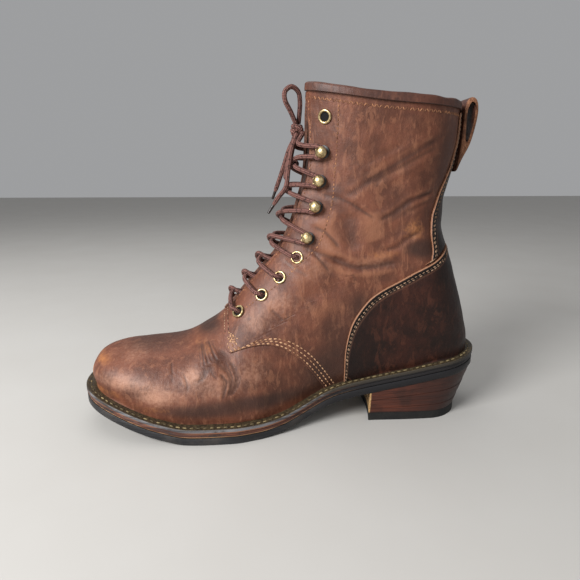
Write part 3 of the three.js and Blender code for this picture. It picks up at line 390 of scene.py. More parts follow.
# Folds, creases, worn places and painted shade of the leather, as lines in the side view (x, z)
foldNames = ("side", "width", "depth", "beside", "line")
foldRows = [
    # side: -1 outer, 1 inner, 0 both; width and depth; fainter copies beside it as (along x, share
    # of the depth); and the line itself
    (0, 0.8, 0.5, [(-2.3, 0.6), (2.6, 0.7), (5.0, 0.35)],
     [(106.0, 66.0), (110.5, 60.0), (114.3, 53.0), (117.2, 45.5), (116.8, 38.5), (112.6, 31.2)]),
    (0, 0.75, 0.4, [(2.2, 0.6)],
     [(115.0, 58.0), (119.0, 50.5), (121.2, 45.0), (118.6, 37.0), (114.8, 31.9)]),
    (0, 0.8, 0.32, [(2.4, 0.7), (-2.6, 0.6)],
     [(92.5, 68.0), (94.9, 62.4), (96.6, 55.4), (97.2, 50.1), (94.5, 45.2), (90.1, 43.2)]),
    (0, 0.75, 0.28, [(3.0, 0.6)],
     [(93.5, 68.0), (97.6, 60.0), (100.5, 54.0), (103.5, 48.0), (107.0, 44.0)]),
    (0, 0.8, 0.35, [(3.4, 0.6), (-3.0, 0.5)],
     [(98.0, 70.0), (101.5, 64.1), (104.5, 59.1), (109.5, 53.7), (113.3, 48.5)]),
    (-1, 0.8, 0.25, [], [(71.8, 55.4), (73.5, 48.3), (73.4, 42.2)]),
    (0, 0.8, 0.25, [], [(80.8, 50.2), (84.0, 44.2), (85.4, 37.3)]),
    (-1, 0.8, 0.4, [(-2.0, 0.5)], [(107.8, 49.9), (113.2, 43.5), (112.1, 37.7), (109.9, 30.5)]),
    (0, 1.7, 0.65, [(-7.0, 0.35), (9.0, 0.3), (-13.0, 0.2)],
     [(194.0, 171.7), (206.6, 178.8), (215.1, 185.6), (222.3, 190.5), (231.1, 195.5), (242.6, 202.8),
      (255.2, 210.1), (268.0, 217.0)]),
    (0, 1.6, 0.5, [(5.0, 0.35)],
     [(214.5, 182.8), (226.5, 189.7), (238.8, 196.3), (251.4, 203.6), (265.5, 210.4)]),
    (-1, 1.5, 0.32, [(-8.0, 0.7)], [(203.7, 190.0), (211.2, 196.3), (225.6, 203.5), (238.8, 211.2)]),
    (0, 1.4, 0.45, [],
     [(179.3, 177.7), (188.3, 175.3), (196.8, 173.7), (204.5, 170.3), (216.4, 162.7), (224.2, 158.5)]),
    (0, 1.4, 0.65, [(4.0, 0.4)], [(222.2, 157.5), (233.2, 162.8), (245.0, 172.1), (265.6, 179.4)]),
    (-1, 1.5, 0.35, [], [(225.3, 154.4), (236.2, 160.2), (249.1, 167.1), (262.8, 173.0)]),
    (0, 1.5, 0.5, [(3.0, 0.5)], [(228.0, 136.0), (238.5, 139.4), (242.2, 143.6), (254.6, 150.5)]),
    (-1, 1.3, 0.35, [], [(246.5, 145.5), (253.2, 149.6), (255.3, 153.1)]),
    (0, 7.0, 1.2, [], [(201.5, 164.0), (203.2, 153.9), (205.1, 143.4), (208.2, 135.3)]),
    (0, 2.2, 0.8, [(2.0, 0.3)],
     [(186.0, 132.5), (196.1, 128.0), (204.6, 125.2), (210.5, 123.9), (224.0, 124.9), (242.2, 129.0)]),
    (-1, 1.4, 0.4, [], [(205.4, 120.8), (208.5, 115.5), (207.1, 110.3)]),
    (0, 2.0, 0.6, [(1.0, 0.4)], [(168.8, 139.2), (182.5, 133.7), (194.4, 130.3), (204.5, 128.2)]),
    (0, 1.6, 0.5, [], [(177.3, 153.7), (186.5, 149.6), (193.7, 142.5), (197.3, 136.8)]),
    (-1, 1.3, 0.4, [], [(177.2, 135.0), (184.3, 127.9), (190.1, 120.0)]),
    (0, 2.2, 0.5, [], [(156.3, 128.5), (164.4, 122.3), (175.2, 116.6)]),
    (0, 1.4, 0.4, [], [(145.7, 93.0), (151.6, 88.6), (157.2, 82.2)]),
    (0, 5.0, 0.5, [], [(139.6, 78.1), (153.0, 84.0), (167.9, 86.8)]),
    (0, 6.0, 0.7, [], [(168.0, 98.0), (184.0, 108.0), (200.0, 112.0)]),
]
folds = [dict(zip(foldNames, row)) for row in foldRows]
# Worn places and painted shade of each kind: side, middle (x, z), half sizes, strength
wearAndShade = {
    "scuff": [
        (0, 5.0, 40.0, 5.0, 10.0, 0.95), (0, 15.0, 53.0, 14.0, 4.0, 0.5), (0, 20.0, 32.0, 20.0, 4.5, 0.5),
        (0, 52.0, 23.0, 30.0, 5.0, 0.35), (0, 97.0, 65.0, 12.0, 9.0, 0.4),
        (-1, 250.0, 152.0, 12.0, 10.0, 0.6), (0, 170.0, 205.0, 9.0, 16.0, 0.2),
        (0, 228.0, 133.0, 18.0, 5.0, 0.4),
    ],
    "pale": [
        (0, 34.0, 42.0, 26.0, 8.0, 0.8), (-1, 62.0, 34.0, 20.0, 9.0, 0.85),
        (-1, 88.0, 47.0, 8.0, 7.0, 0.75), (0, 106.0, 40.0, 26.0, 12.0, 0.65),
        (0, 45.0, 58.0, 30.0, 7.0, 0.45), (-1, 152.0, 98.0, 20.0, 12.0, 0.6),
        (0, 134.0, 82.0, 20.0, 10.0, 0.6), (0, 222.0, 127.0, 28.0, 6.0, 0.55),
        (0, 134.0, 50.0, 22.0, 16.0, 0.5), (0, 205.0, 182.0, 10.0, 8.0, 0.35),
        (0, 180.0, 120.0, 18.0, 14.0, 0.4), (0, 175.0, 175.0, 8.0, 40.0, 0.35),
        (-1, 236.0, 200.0, 24.0, 12.0, 0.3), (-1, 196.0, 146.0, 9.0, 9.0, 0.4),
    ],
    # Real stains together with painted shade: the dark places at the waist, the rear of the shaft, along the
    # counter's edge and below the collar are painted shade
    "stain": [
        (0, 95.0, 78.0, 16.0, 8.0, 1.0), (0, 72.0, 68.0, 14.0, 5.0, 0.6),
        (0, 140.0, 27.0, 50.0, 8.0, 0.8), (0, 194.0, 44.0, 30.0, 26.0, 1.0),
        (0, 190.0, 82.0, 14.0, 16.0, 0.5), (0, 90.0, 22.0, 44.0, 7.0, 0.7),
        (0, 52.0, 62.0, 30.0, 6.0, 0.6), (0, 270.0, 215.0, 18.0, 34.0, 0.5),
        (0, 256.0, 138.0, 16.0, 8.0, 0.9), (0, 232.0, 116.0, 16.0, 7.0, 0.5),
        (0, 214.0, 96.0, 10.0, 12.0, 0.5), (0, 278.0, 150.0, 20.0, 60.0, 0.75),
        (0, 236.0, 178.0, 12.0, 12.0, 0.5), (0, 285.0, 70.0, 20.0, 50.0, 0.5),
        (0, 240.0, 232.0, 34.0, 8.0, 0.3), (0, 212.0, 80.0, 16.0, 40.0, 0.5),
        (0, 206.0, 146.0, 7.0, 14.0, 0.5),
    ],
}


# Distance from points to a broken line, the least over its stretches, and the share of the line's
# length where that is.
def lineDistance(points, line):
    line = np.array(line, float)
    start, way = line[:-1], np.diff(line, axis=0)
    length = np.linalg.norm(way, axis=1)
    gap = points[:, None, :] - start[None]
    share = np.clip((gap * way[None]).sum(-1) / (length**2)[None], 0.0, 1.0)
    off = np.linalg.norm(gap - share[..., None] * way[None], axis=-1)
    best = off.argmin(1)
    pick = np.arange(len(points))
    before = np.concatenate([[0.0], np.cumsum(length)[:-1]])
    reached = (before[best] + share[pick, best] * length[best]) / length.sum()
    return off[pick, best], reached


# A gentle unevenness of about 1 either way: a sum of sine waves in seeded directions.
def waves(points, size, seed, count=9):
    random = np.random.default_rng(seed)
    ways = random.normal(size=(count, 3))
    ways = ways / np.linalg.norm(ways, axis=1, keepdims=True) * random.uniform(0.6, 1.6, (count, 1))
    phase = random.uniform(0, 2 * np.pi, count)
    return np.sin(points @ ways.T * (2 * np.pi / size) + phase).sum(-1) / math.sqrt(count)


# A fold and the fainter copies that run beside it.
def besides(fold):
    line = np.array(fold["line"])
    yield {**fold, "line": line}
    for across, share in fold["beside"]:
        bend = np.sin(np.linspace(0.5, 3.0, len(line)))[:, None] * [1.0, 0.0]
        yield {**fold, "line": line + across * bend, "depth": fold["depth"] * share}


creasing = {
    "bulge": 0.35, "bulgeSize": 60.0, "ripple": 0.12, "rippleSize": 22.0, "near": 60.0, "fade": 0.16,
    "ridge": 0.42, "ridgeAway": 2.4, "ridgeWide": 1.3, "darkness": 2.2, "rubAndSheenShare": 0.9,
}


# Height of the folds over the skin and the fields that colour it. A fold is a Gaussian trough with a lower
# ridge on each side, and fades at its two ends. The colour fields paint shade in each trough, and paint the
# ridges paler as rub wear with a painted highlight.
def relief(points):
    shape = points.shape[:-1]
    flat = points.reshape(-1, 3)
    seen = flat[:, [0, 2]]
    height = creasing["bulge"] * waves(flat, creasing["bulgeSize"], 3)
    height = height + creasing["ripple"] * waves(flat, creasing["rippleSize"], 4)
    troughShade, rubAndSheen = np.zeros(len(flat)), np.zeros(len(flat))
    for fold in [single for every in folds for single in besides(every)]:
        near = fold["side"] * flat[:, 1] >= 0
        near &= np.abs(seen[:, 0] - np.mean([place[0] for place in fold["line"]])) < creasing["near"]
        off, reached = lineDistance(seen[near], fold["line"])
        fade = softStep(0.0, creasing["fade"], reached) * (1 - softStep(1 - creasing["fade"], 1.0, reached))
        fade = fade + 0.05
        away = softStep(3.0, 14.0, np.abs(flat[near, 1]))
        wide, depth = fold["width"], fold["depth"]
        dent = np.exp(-((off / wide) ** 2)) * fade * away
        beyond = (off - creasing["ridgeAway"] * wide) / (creasing["ridgeWide"] * wide)
        ridge = np.exp(-(beyond**2)) * fade * away
        height[near] += depth * (creasing["ridge"] * ridge - dent)
        # Painted shade in the fold's trough.
        troughShade[near] = np.maximum(troughShade[near], dent * min(1.0, depth / wide * creasing["darkness"]))
        # The ridge beside the fold is paler: rub wear and a painted highlight.
        rubAndSheen[near] = np.maximum(rubAndSheen[near], ridge * min(1.0, depth * creasing["rubAndSheenShare"]))
    fields = {"troughShade": troughShade, "rubAndSheen": rubAndSheen}
    for kind, spots in wearAndShade.items():
        clean = np.ones(len(flat))
        for side, x, z, wide, tall, strength in spots:
            facing = np.where(side * flat[:, 1] < 0, 0.0, 1.0)
            spot = np.exp(-(((seen[:, 0] - x) / wide) ** 2) - ((seen[:, 1] - z) / tall) ** 2)
            clean = clean * (1 - np.clip(spot * strength * facing, 0, 1))
        fields[kind] = 1 - clean
    return height.reshape(shape), {name: value.reshape(shape) for name, value in fields.items()}


footSink = 0.8  # how far a panel's foot goes down behind the ledge of the welt


# Point of the dressed skin: the skin pushed out along its normal by a lift and the relief, with its
# foot edge carried down.
def surface(row, turn, lift):
    row = np.asarray(row, float)
    base = skin(row, turn)
    height, fields = relief(base)
    footEnd = 1 - softStep(0.0, 0.03, np.minimum(turn, 1 - turn))
    quiet = 1 - softStep(lastRow - 1.0, lastRow, row) * 0.8
    calm = (1 - footEnd) * quiet * softStep(0.0, 0.3, row)
    points = base + skinNormal(row, turn) * (lift + height * calm)[..., None]
    points[..., 2] -= footSink * footEnd * (row <= cornerRow)
    return points, fields


def frontLine(z):
    return smooth(sectionColumns["topZ"], sectionColumns["topX"])(z / last["height"]) * last["length"]


# A point ahead of the boot's front line at a height, pushed out square to that line.
def frontPoint(z, y, lift):
    slope = (frontLine(z + 1) - frontLine(z - 1)) / 2
    facing = np.array([-1.0, 0.0, slope]) / math.hypot(1.0, slope)
    return np.array([frontLine(z), y, z]) + facing * lift


def throatHalf(z):
    shoulder = last["throatBase"] + last["throatShoulder"]
    share = np.clip((z - shoulder) / (last["throatFull"] - shoulder), 0.0, 1.0)
    half = last["throatLow"] + (last["throatHigh"] - last["throatLow"]) * share
    low = np.clip((z - last["throatBase"]) / last["throatShoulder"], 0.0, 1.0)
    return half * low + last["throatFoot"] * (1 - low)


# Turn of a place that is q from the foot on one side.
def sideTurn(q, side):
    return q if side < 0 else 1 - q


# Share from the foot where the skin comes within a half width of the middle, for each row.
def turnAtHalf(rows, side, half):
    q = np.linspace(0.2, 0.4999, 500)
    points = skin(rows[:, None], sideTurn(q, side)[None])
    over = np.abs(points[..., 1]) - half(points[..., 2])
    first = np.argmax(over < 0, axis=1)
    before = np.maximum(first - 1, 0)
    pick = np.arange(len(rows))
    a, b = over[pick, before], over[pick, first]
    share = np.where(first > 0, a / np.maximum(a - b, 1e-9), 0.0)
    return q[before] + share * (q[first] - q[before])


# Row and share from the foot of places seen in the side view: the nearest of a grid, then Newton
# steps with the skin's own slopes.
def placeOnSkin(x, z, side):
    x, z = np.asarray(x, float), np.asarray(z, float)
    rows, q = np.meshgrid(np.linspace(0.2, lastRow, 260), np.linspace(0.0, 0.5, 100), indexing="ij")
    grid = skin(rows, sideTurn(q, side))
    flat = grid.reshape(-1, 3)
    best = ((flat[None, :, 0] - x[:, None]) ** 2 + (flat[None, :, 2] - z[:, None]) ** 2).argmin(1)
    row, share = rows.ravel()[best], q.ravel()[best]
    for _ in range(8):
        here = skin(row, sideTurn(share, side))
        byRow = (skin(row + 0.01, sideTurn(share, side)) - here) / 0.01
        byShare = (skin(row, sideTurn(share + 0.001, side)) - here) / 0.001
        off = np.stack([x - here[:, 0], z - here[:, 2]], -1)
        det = byRow[:, 0] * byShare[:, 2] - byRow[:, 2] * byShare[:, 0]
        det = np.where(np.abs(det) < 1e-3, 1e-3, det)
        stepRow = (off[:, 0] * byShare[:, 2] - off[:, 1] * byShare[:, 0]) / det
        stepShare = (off[:, 1] * byRow[:, 0] - off[:, 0] * byRow[:, 2]) / det
        row = np.clip(row + np.clip(stepRow, -0.3, 0.3), 0.1, lastRow)
        share = np.clip(share + np.clip(stepShare, -0.02, 0.02), 0.0, 0.499)
    return row, share


# Points of a smooth curve through a table of points: a uniform Catmull-Rom spline.
def through(points, count):
    points = np.array(points, float)
    padded = np.concatenate([2 * points[:1] - points[1:2], points, 2 * points[-1:] - points[-2:-1]])
    at = np.linspace(0, len(points) - 1, count)
    i = np.minimum(at.astype(int), len(points) - 2)
    s = (at - i)[:, None]
    a, b, c, d = padded[i], padded[i + 1], padded[i + 2], padded[i + 3]
    bend, twist = 2 * a - 5 * b + 4 * c - d, 3 * b - a - 3 * c + d
    return 0.5 * (2 * b + (c - a) * s + bend * s**2 + twist * s**3)


# The same curve with its points evenly spaced along its length.
def spread(points, count):
    length = np.concatenate([[0.0], np.cumsum(np.linalg.norm(np.diff(points, axis=0), axis=1))])
    at = np.linspace(0, length[-1], count)
    return np.stack([np.interp(at, length, points[:, k]) for k in range(points.shape[1])], -1)


# Meshes from grids
shift = np.array([-157.5, 6.3455, 0.0])
millimetre = 0.001


def toRow(points):
    return (np.asarray(points, float) + shift) * millimetre


# A mesh object from points in the boot's frame; which gives each face its material.
def addPiece(name, points, faces, materials, slots=None, which=None, fields=None, angle=40.0):
    mesh = bpy.data.meshes.new(name)
    mesh.from_pydata(toRow(points).tolist(), [], [list(face) for face in faces])
    for material in materials:
        mesh.materials.append(material)
    if which is not None:
        mesh.polygons.foreach_set("material_index", np.asarray(which, np.int32))
    for fieldName, values in (fields or {}).items():
        layer = mesh.attributes.new(fieldName, "FLOAT", "POINT")
        layer.data.foreach_set("value", np.asarray(values, np.float32).ravel())
    mesh.polygons.foreach_set("use_smooth", np.ones(len(mesh.polygons), bool))
    mesh.set_sharp_from_angle(angle=math.radians(angle))
    made = bpy.data.objects.new(name, mesh)
    bpy.context.scene.collection.objects.link(made)
    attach(made, "root")
    return made


# Faces of a grid of points; closed joins its last column to its first.
def gridQuads(rows, columns, start=0, flip=False, closed=False):
    across = columns if closed else columns - 1
    i, j = np.meshgrid(np.arange(rows - 1), np.arange(across), indexing="ij")
    after = (j + 1) % columns
    here, below = i * columns, (i + 1) * columns
    quads = np.stack([here + j, below + j, below + after, here + after], -1).reshape(-1, 4) + start
    return quads[:, ::-1] if flip else quads


# Points that round to the same place taken as one: where each is met first, and for every point
# its number in that list.
def weld(points, digits=3):
    near = np.round(points, digits)
    _, first, back = np.unique(near, axis=0, return_index=True, return_inverse=True)
    return first, back.ravel()


# Faces with the corners that were welded together dropped.
def tidyFaces(quads):
    same = quads == np.roll(quads, -1, axis=1)
    kept = quads[~same.any(1)].tolist()
    for index in np.flatnonzero(same.sum(1) == 1):
        face = quads[index][~same[index]].tolist()
        if len(set(face)) == 3:
            kept.append(face)
    return kept


# A closed sheet from grids of (outer points, inner points, flip): points that meet are welded, and
# a rim joins outer to inner wherever only one face has an edge. Returns points, faces, which face
# is outer 0, rim 1 or inner 2, and the fields of its points.
def closedSheet(grids, fields):
    outer = np.concatenate([grid[0].reshape(-1, 3) for grid in grids])
    inner = np.concatenate([grid[1].reshape(-1, 3) for grid in grids])
    values = {name: np.concatenate([part[name].ravel() for part in fields]) for name in fields[0]}
    start, quads = 0, []
    for points, _, flip in grids:
        quads.append(gridQuads(points.shape[0], points.shape[1], start, flip))
        start += points.shape[0] * points.shape[1]
    first, back = weld(outer)
    count = len(first)
    middle = np.zeros((count, 3))
    np.add.at(middle, back, inner)
    faces = tidyFaces(back[np.concatenate(quads)])
    sides = np.concatenate([np.stack([face, np.roll(face, -1)], -1) for face in map(np.array, faces)])
    loose = sides[~np.isin(sides[:, 1] * count + sides[:, 0], sides[:, 0] * count + sides[:, 1])]
    below = loose + count
    rim = np.stack([loose[:, 1], loose[:, 0], below[:, 0], below[:, 1]], -1).tolist()
    under = [[corner + count for corner in reversed(face)] for face in faces]
    which = [0] * len(faces) + [1] * len(rim) + [2] * len(under)
    points = np.concatenate([outer[first], middle / np.bincount(back)[:, None]])
    both = {name: np.tile(value[first], 2) for name, value in values.items()}
    return points, faces + rim + under, which, both


# A closed sheet as a piece; node is the solid that it stands for, if any.
def addSheet(name, node, grids, fields, materials, slots):
    points, faces, which, values = closedSheet(grids, fields)
    piece = addPiece(name, points, faces, materials, slots, which, values)
    if node:
        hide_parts(node)


# Distance along one direction of a grid of points, from its first.
def along(points, axis):
    step = np.linalg.norm(np.diff(points, axis=axis), axis=-1)
    zero = np.zeros_like(np.take(step, [0], axis=axis))
    return np.concatenate([zero, np.cumsum(step, axis=axis)], axis=axis)


edgeRound = 0.7


# How far a rounded edge has fallen at a distance from it.
def edgeDrop(distance):
    inside = np.clip(edgeRound - distance, 0.0, edgeRound)
    return edgeRound - np.sqrt(np.maximum(edgeRound**2 - inside**2, 0.0))


fineEdge = np.array([0.0, 0.15, 0.4, 0.75, 1.2, 1.8])


# Shares of a length, evenly spaced but finer at the ends that are cut edges.
def steps(length, step, before=True, after=True):
    low = fineEdge if before else np.array([0.0])
    high = length - (fineEdge[::-1] if after else np.array([0.0]))
    count = max(2, int((high[0] - low[-1]) / step))
    return np.concatenate([low[:-1], np.linspace(low[-1], high[0], count), high[1:]]) / length


# Rows against the greatest distance travelled over the skin from the tip of the toe.
def travel(turns):
    fine = np.concatenate([np.linspace(0, 1, 300) ** 2.5, np.linspace(1, lastRow, 1500)[1:]])
    points = skin(fine[:, None], np.array(turns)[None])
    way = np.linalg.norm(np.diff(points, axis=0), axis=-1).max(1)
    return fine, np.concatenate([[0.0], np.cumsum(way)])


travelRows, travelled = travel([0.02, 0.12, 0.25, 0.38, 0.46, 0.5, 0.62, 0.75, 0.88, 0.98])


# Turns once round, as evenly spaced over the skin as their rows allow.
def evenTurns(rows, step):
    fine = np.linspace(0.0, 1.0, 800)
    way = along(skin(np.array(rows)[:, None], fine[None]), 1).max(0)
    return np.interp(steps(way[-1], step, before=False, after=False) * way[-1], way, fine)


# Where the panels end, from the side view of their edges, as shares of length and height
edges = {
    "quarter": [(0.349, 0.35), (0.35, 0.29), (0.359, 0.255), (0.371, 0.245), (0.404, 0.26),
                (0.448, 0.267), (0.481, 0.259), (0.513, 0.236), (0.54, 0.206), (0.566, 0.165),
                (0.593, 0.115)],
    "counter": [(0.645, 0.1), (0.642, 0.22), (0.647, 0.278), (0.66, 0.33), (0.689, 0.385),
                (0.721, 0.42), (0.766, 0.452), (0.804, 0.48), (0.845, 0.508), (0.88, 0.537),
                (0.94, 0.575)],
    "backstay": [(0.83, 0.46), (0.8365, 0.51), (0.838, 0.545), (0.832, 0.588), (0.8345, 0.635),
                 (0.849, 0.685), (0.873, 0.75), (0.8905, 0.81), (0.899, 0.87), (0.9, 1.03)],
}


def sideCurve(name, count=160):
    return spread(through(edges[name], count * 4), count) * [last["length"], last["height"]]


# Row and share from the foot along a side view line, kept to where it lies on the skin.
def edgeOnSkin(line, side):
    row, q = placeOnSkin(line[:, 0], line[:, 1], side)
    points = skin(row, sideTurn(q, side))
    off = np.hypot(points[:, 0] - line[:, 0], points[:, 2] - line[:, 1])
    return row[off < 0.4], q[off < 0.4]


def throatShare(row, side):
    return turnAtHalf(np.asarray(row, float), side, throatHalf)


throatRows = np.linspace(9.0, lastRow, 240)
throatEdge = {side: throatShare(throatRows, side) for side in (-1, 1)}


def throatAt(row, side):
    return np.interp(row, throatRows, throatEdge[side])


# The quarter's front edge: its row against the share of the way from foot to throat.
def quarterFront(side):
    row, q = edgeOnSkin(sideCurve("quarter"), side)
    share = q / throatAt(row, side)
    kept = share < 0.985
    order = np.argsort(share[kept])
    return share[kept][order], row[kept][order]


quarterPanel = {"step": 1.1, "reach": 118.0, "thick": 3.6}


# Rows and shares of a quarter's grid, from its front edge to the collar and foot to throat.
def quarterGrid(side):
    across = steps(quarterPanel["reach"], quarterPanel["step"], before=False)
    front = np.interp(across, *quarterFront(side))
    first = np.interp(front, travelRows, travelled)
    final = np.interp(lastRow, travelRows, travelled)
    down = steps(final - first.mean(), quarterPanel["step"], after=False)
    row = np.interp(first[None] + down[:, None] * (final - first)[None], travelled, travelRows)
    return row, across[None] * throatAt(row, side)


# Shallow channels that stitches pull into the leather at distances from an edge.
def groove(distance, places, depth=0.16, wide=0.55):
    return -sum(depth * np.exp(-(((distance - place) / wide) ** 2)) for place in places)


stitchSetIn = {
    "quarter": (2.2, 5.4, 8.6), "throat": (2.6,), "counter": (3.0, 4.4), "backstay": (2.6, 4.0),
}


# Outer and inner grids of a panel and the fields of its points.
def dressedSheet(row, q, side, lift, thick, drop, innerRelief=0.4):
    turn = sideTurn(q, side)
    outer, fields = surface(row, turn, lift + drop)
    base = skin(row, turn)
    height, _ = relief(base)
    calm = softStep(0.0, 0.4, row) * innerRelief
    inner = base + skinNormal(row, turn) * (lift - thick + height * calm)[..., None]
    return outer, inner, fields


def buildQuarter(side, name, materials):
    row, q = quarterGrid(side)
    points = skin(row, sideTurn(q, side))
    front = along(points, 0)
    throat = along(points[:, ::-1], 1)[:, ::-1]
    drop = -edgeDrop(front) - edgeDrop(throat)
    drop = drop + groove(front, stitchSetIn["quarter"]) + groove(throat, stitchSetIn["throat"])
    outer, inner, fields = dressedSheet(row, q, side, last["quarter"], quarterPanel["thick"], drop)
    fields["edge"] = np.minimum(front, throat)
    addSheet(name, None, [(outer, inner, side > 0)], [fields], materials, "upper_leather")
    return {"row": row, "q": q, "front": front, "throat": throat}


vampPanel = {
    "step": 0.95, "rows": [1.0, 3.0, 5.0, 7.0, 9.0], "tuck": 0.32, "throatRow": 9.0,
    "throatFrom": 0.455, "throatTo": 0.47, "noEdge": 20.0,
}


# Row of the vamp's rear edge against the share from the foot, tucked under the quarter.
def vampRear(side):
    share, row = quarterFront(side)
    q = share * throatAt(row, side)
    return np.append(q, 0.5), np.append(row + vampPanel["tuck"], vampPanel["throatRow"])


def buildVamp(name, materials):
    rears = {side: vampRear(side) for side in (-1, 1)}
    turn = evenTurns(vampPanel["rows"], vampPanel["step"])
    q = np.minimum(turn, 1 - turn)
    rear = np.where(turn < 0.5, np.interp(q, *rears[-1]), np.interp(q, *rears[1]))
    inThroat = softStep(vampPanel["throatFrom"], vampPanel["throatTo"], q)
    rear = rear * (1 - inThroat) + vampPanel["throatRow"] * inThroat
    final = np.interp(rear, travelRows, travelled)
    down = steps(final.mean(), vampPanel["step"], before=False)
    row = np.interp(down[:, None] * final[None], travelled, travelRows)
    turn = np.broadcast_to(turn, row.shape)
    points = skin(row, turn)
    rearward = along(points[::-1], 0)[::-1]
    outer, fields = surface(row, turn, -edgeDrop(rearward))
    inner = points - skinNormal(row, turn) * last["wall"]
    fields["edge"] = np.full_like(row, vampPanel["noEdge"])
    addSheet(name, "upper", [(outer, inner, False)], [fields], materials, "upper_leather")


# One half of a panel that goes round the back: its grids and its fields.
def halfPanel(panel, seam, row, q, side, edge):
    drop = -edgeDrop(edge) + groove(edge, stitchSetIn[seam], panel["channel"], panel["channelWide"])
    lift, thick = panel["lift"], panel["thick"]
    outer, inner, values = dressedSheet(row, q, side, lift, thick, drop, panel["innerRelief"])
    values["edge"] = edge
    return (outer, inner, side > 0), values


# Rows and shares of an edge on the skin, in the order of its rows.
def edgeRows(name, side):
    row, q = edgeOnSkin(sideCurve(name), side)
    order = np.argsort(row)
    return row[order], q[order]


counterPanel = {
    "step": 1.0, "reach": 90.0, "lift": 3.4, "thick": 1.9, "innerRelief": 0.9, "channel": 0.3,
    "channelWide": 1.1,
}


# Both halves of the counter: from the foot up to its edge, and round the back above the corner.
def buildCounter(name, materials):
    grids, fields, kept = [], [], {}
    for side in (-1, 1):
        rows, tops = edgeRows("counter", side)
        first, final = np.interp([rows[0], rows[-1]], travelRows, travelled)
        way = first + steps(final - first, counterPanel["step"]) * (final - first)
        down = np.interp(way, travelled, travelRows)
        share = steps(counterPanel["reach"], counterPanel["step"], before=False)
        row = np.broadcast_to(down[:, None], (len(down), len(share)))
        q = share[None] * np.interp(down, rows, tops)[:, None]
        points = skin(row, sideTurn(q, side))
        reach = along(points[:, ::-1], 1)[:, ::-1]
        edge = np.minimum(reach, along(points, 0) + 0.4)
        grid, values = halfPanel(counterPanel, "counter", row, q, side, edge)
        grids.append(grid)
        fields.append(values)
        kept[side] = {"row": row, "q": q, "edge": reach}
    addSheet(name, "counter", grids, fields, materials, "counter_leather")
    return kept


backstayPanel = {
    "step": 0.9, "reach": 26.0, "lift": 3.0, "thick": 1.5, "innerRelief": 0.9, "channel": 0.2,
    "channelWide": 0.8, "foot": 17.4, "top": 0.25, "lines": 150, "overCounter": 0.1,
}


# The strip up the back seam: from the counter's edge to the collar, both sides in one sheet.
def buildBackstay(name, materials):
    grids, fields, kept = [], [], {}
    for side in (-1, 1):
        rows, tops = edgeRows("counter", side)
        behind = rows > 17
        down = np.linspace(backstayPanel["foot"], lastRow - backstayPanel["top"], backstayPanel["lines"])
        share = steps(backstayPanel["reach"], backstayPanel["step"], before=False)
        q = share[None] * np.interp(down, *edgeRows("backstay", side))[:, None]
        floor = np.interp(q, tops[behind][::-1], rows[behind][::-1]) + backstayPanel["overCounter"]
        row = np.maximum(np.broadcast_to(down[:, None], q.shape), floor)
        points = skin(row, sideTurn(q, side))
        edge = along(points[:, ::-1], 1)[:, ::-1]
        grid, values = halfPanel(backstayPanel, "backstay", row, q, side, edge)
        grids.append(grid)
        fields.append(values)
        kept[side] = {"row": row, "q": q, "edge": edge}
    addSheet(name, "backstay", grids, fields, materials, "counter_leather")
    return kept


tonguePanel = {
    "first": 8.55, "final": 23.75, "lines": 190, "reach": 50.0, "step": 1.0, "outside": -4.2,
    "inside": -6.6, "pad": 0.5, "padSize": 26.0,
    "heights": [72.0, 189.0, 252.0], "halves": [17.0, 27.0, 27.0],
}


def tongueHalf(z):
    return np.interp(z, tonguePanel["heights"], tonguePanel["halves"])


# The tongue: a sheet that follows the last under the facings, wider than the throat.
def buildTongue(name, materials):
    down = np.linspace(tonguePanel["first"], tonguePanel["final"], tonguePanel["lines"])
    left, right = turnAtHalf(down, -1, tongueHalf), turnAtHalf(down, 1, tongueHalf)
    share = steps(tonguePanel["reach"], tonguePanel["step"])
    turn = left[:, None] + share[None] * ((1 - right) - left)[:, None]
    row = np.broadcast_to(down[:, None], turn.shape)
    base = skin(row, turn)
    normal = skinNormal(row, turn)
    side = along(base, 1)
    edge = np.minimum(side, side[:, -1:] - side)
    pad = tonguePanel["pad"] * waves(base.reshape(-1, 3), tonguePanel["padSize"], 8).reshape(row.shape)
    outer = base + normal * (tonguePanel["outside"] - edgeDrop(edge) + pad)[..., None]
    inner = base + normal * (tonguePanel["inside"] + pad)[..., None]
    _, fields = relief(base)
    fields["edge"] = edge
    addSheet(name, "tongue", [(outer, inner, False)], [fields], materials, "upper_leather")


# The collar's section as (out from the skin, up from the top line), from its outer foot to its top
# and down inside.
bindingBand = 4.3
bindingOutside = [(2.7, -bindingBand), (3.05, -4.0), (3.1, -2.4), (2.95, -0.6)]
bindingInside = [(-3.7, -0.6), (-3.9, -2.4), (-3.8, -4.0), (-3.0, -bindingBand)]
bindingTop = {"middle": -0.25, "half": 3.15, "up": 0.1, "tall": 1.7}


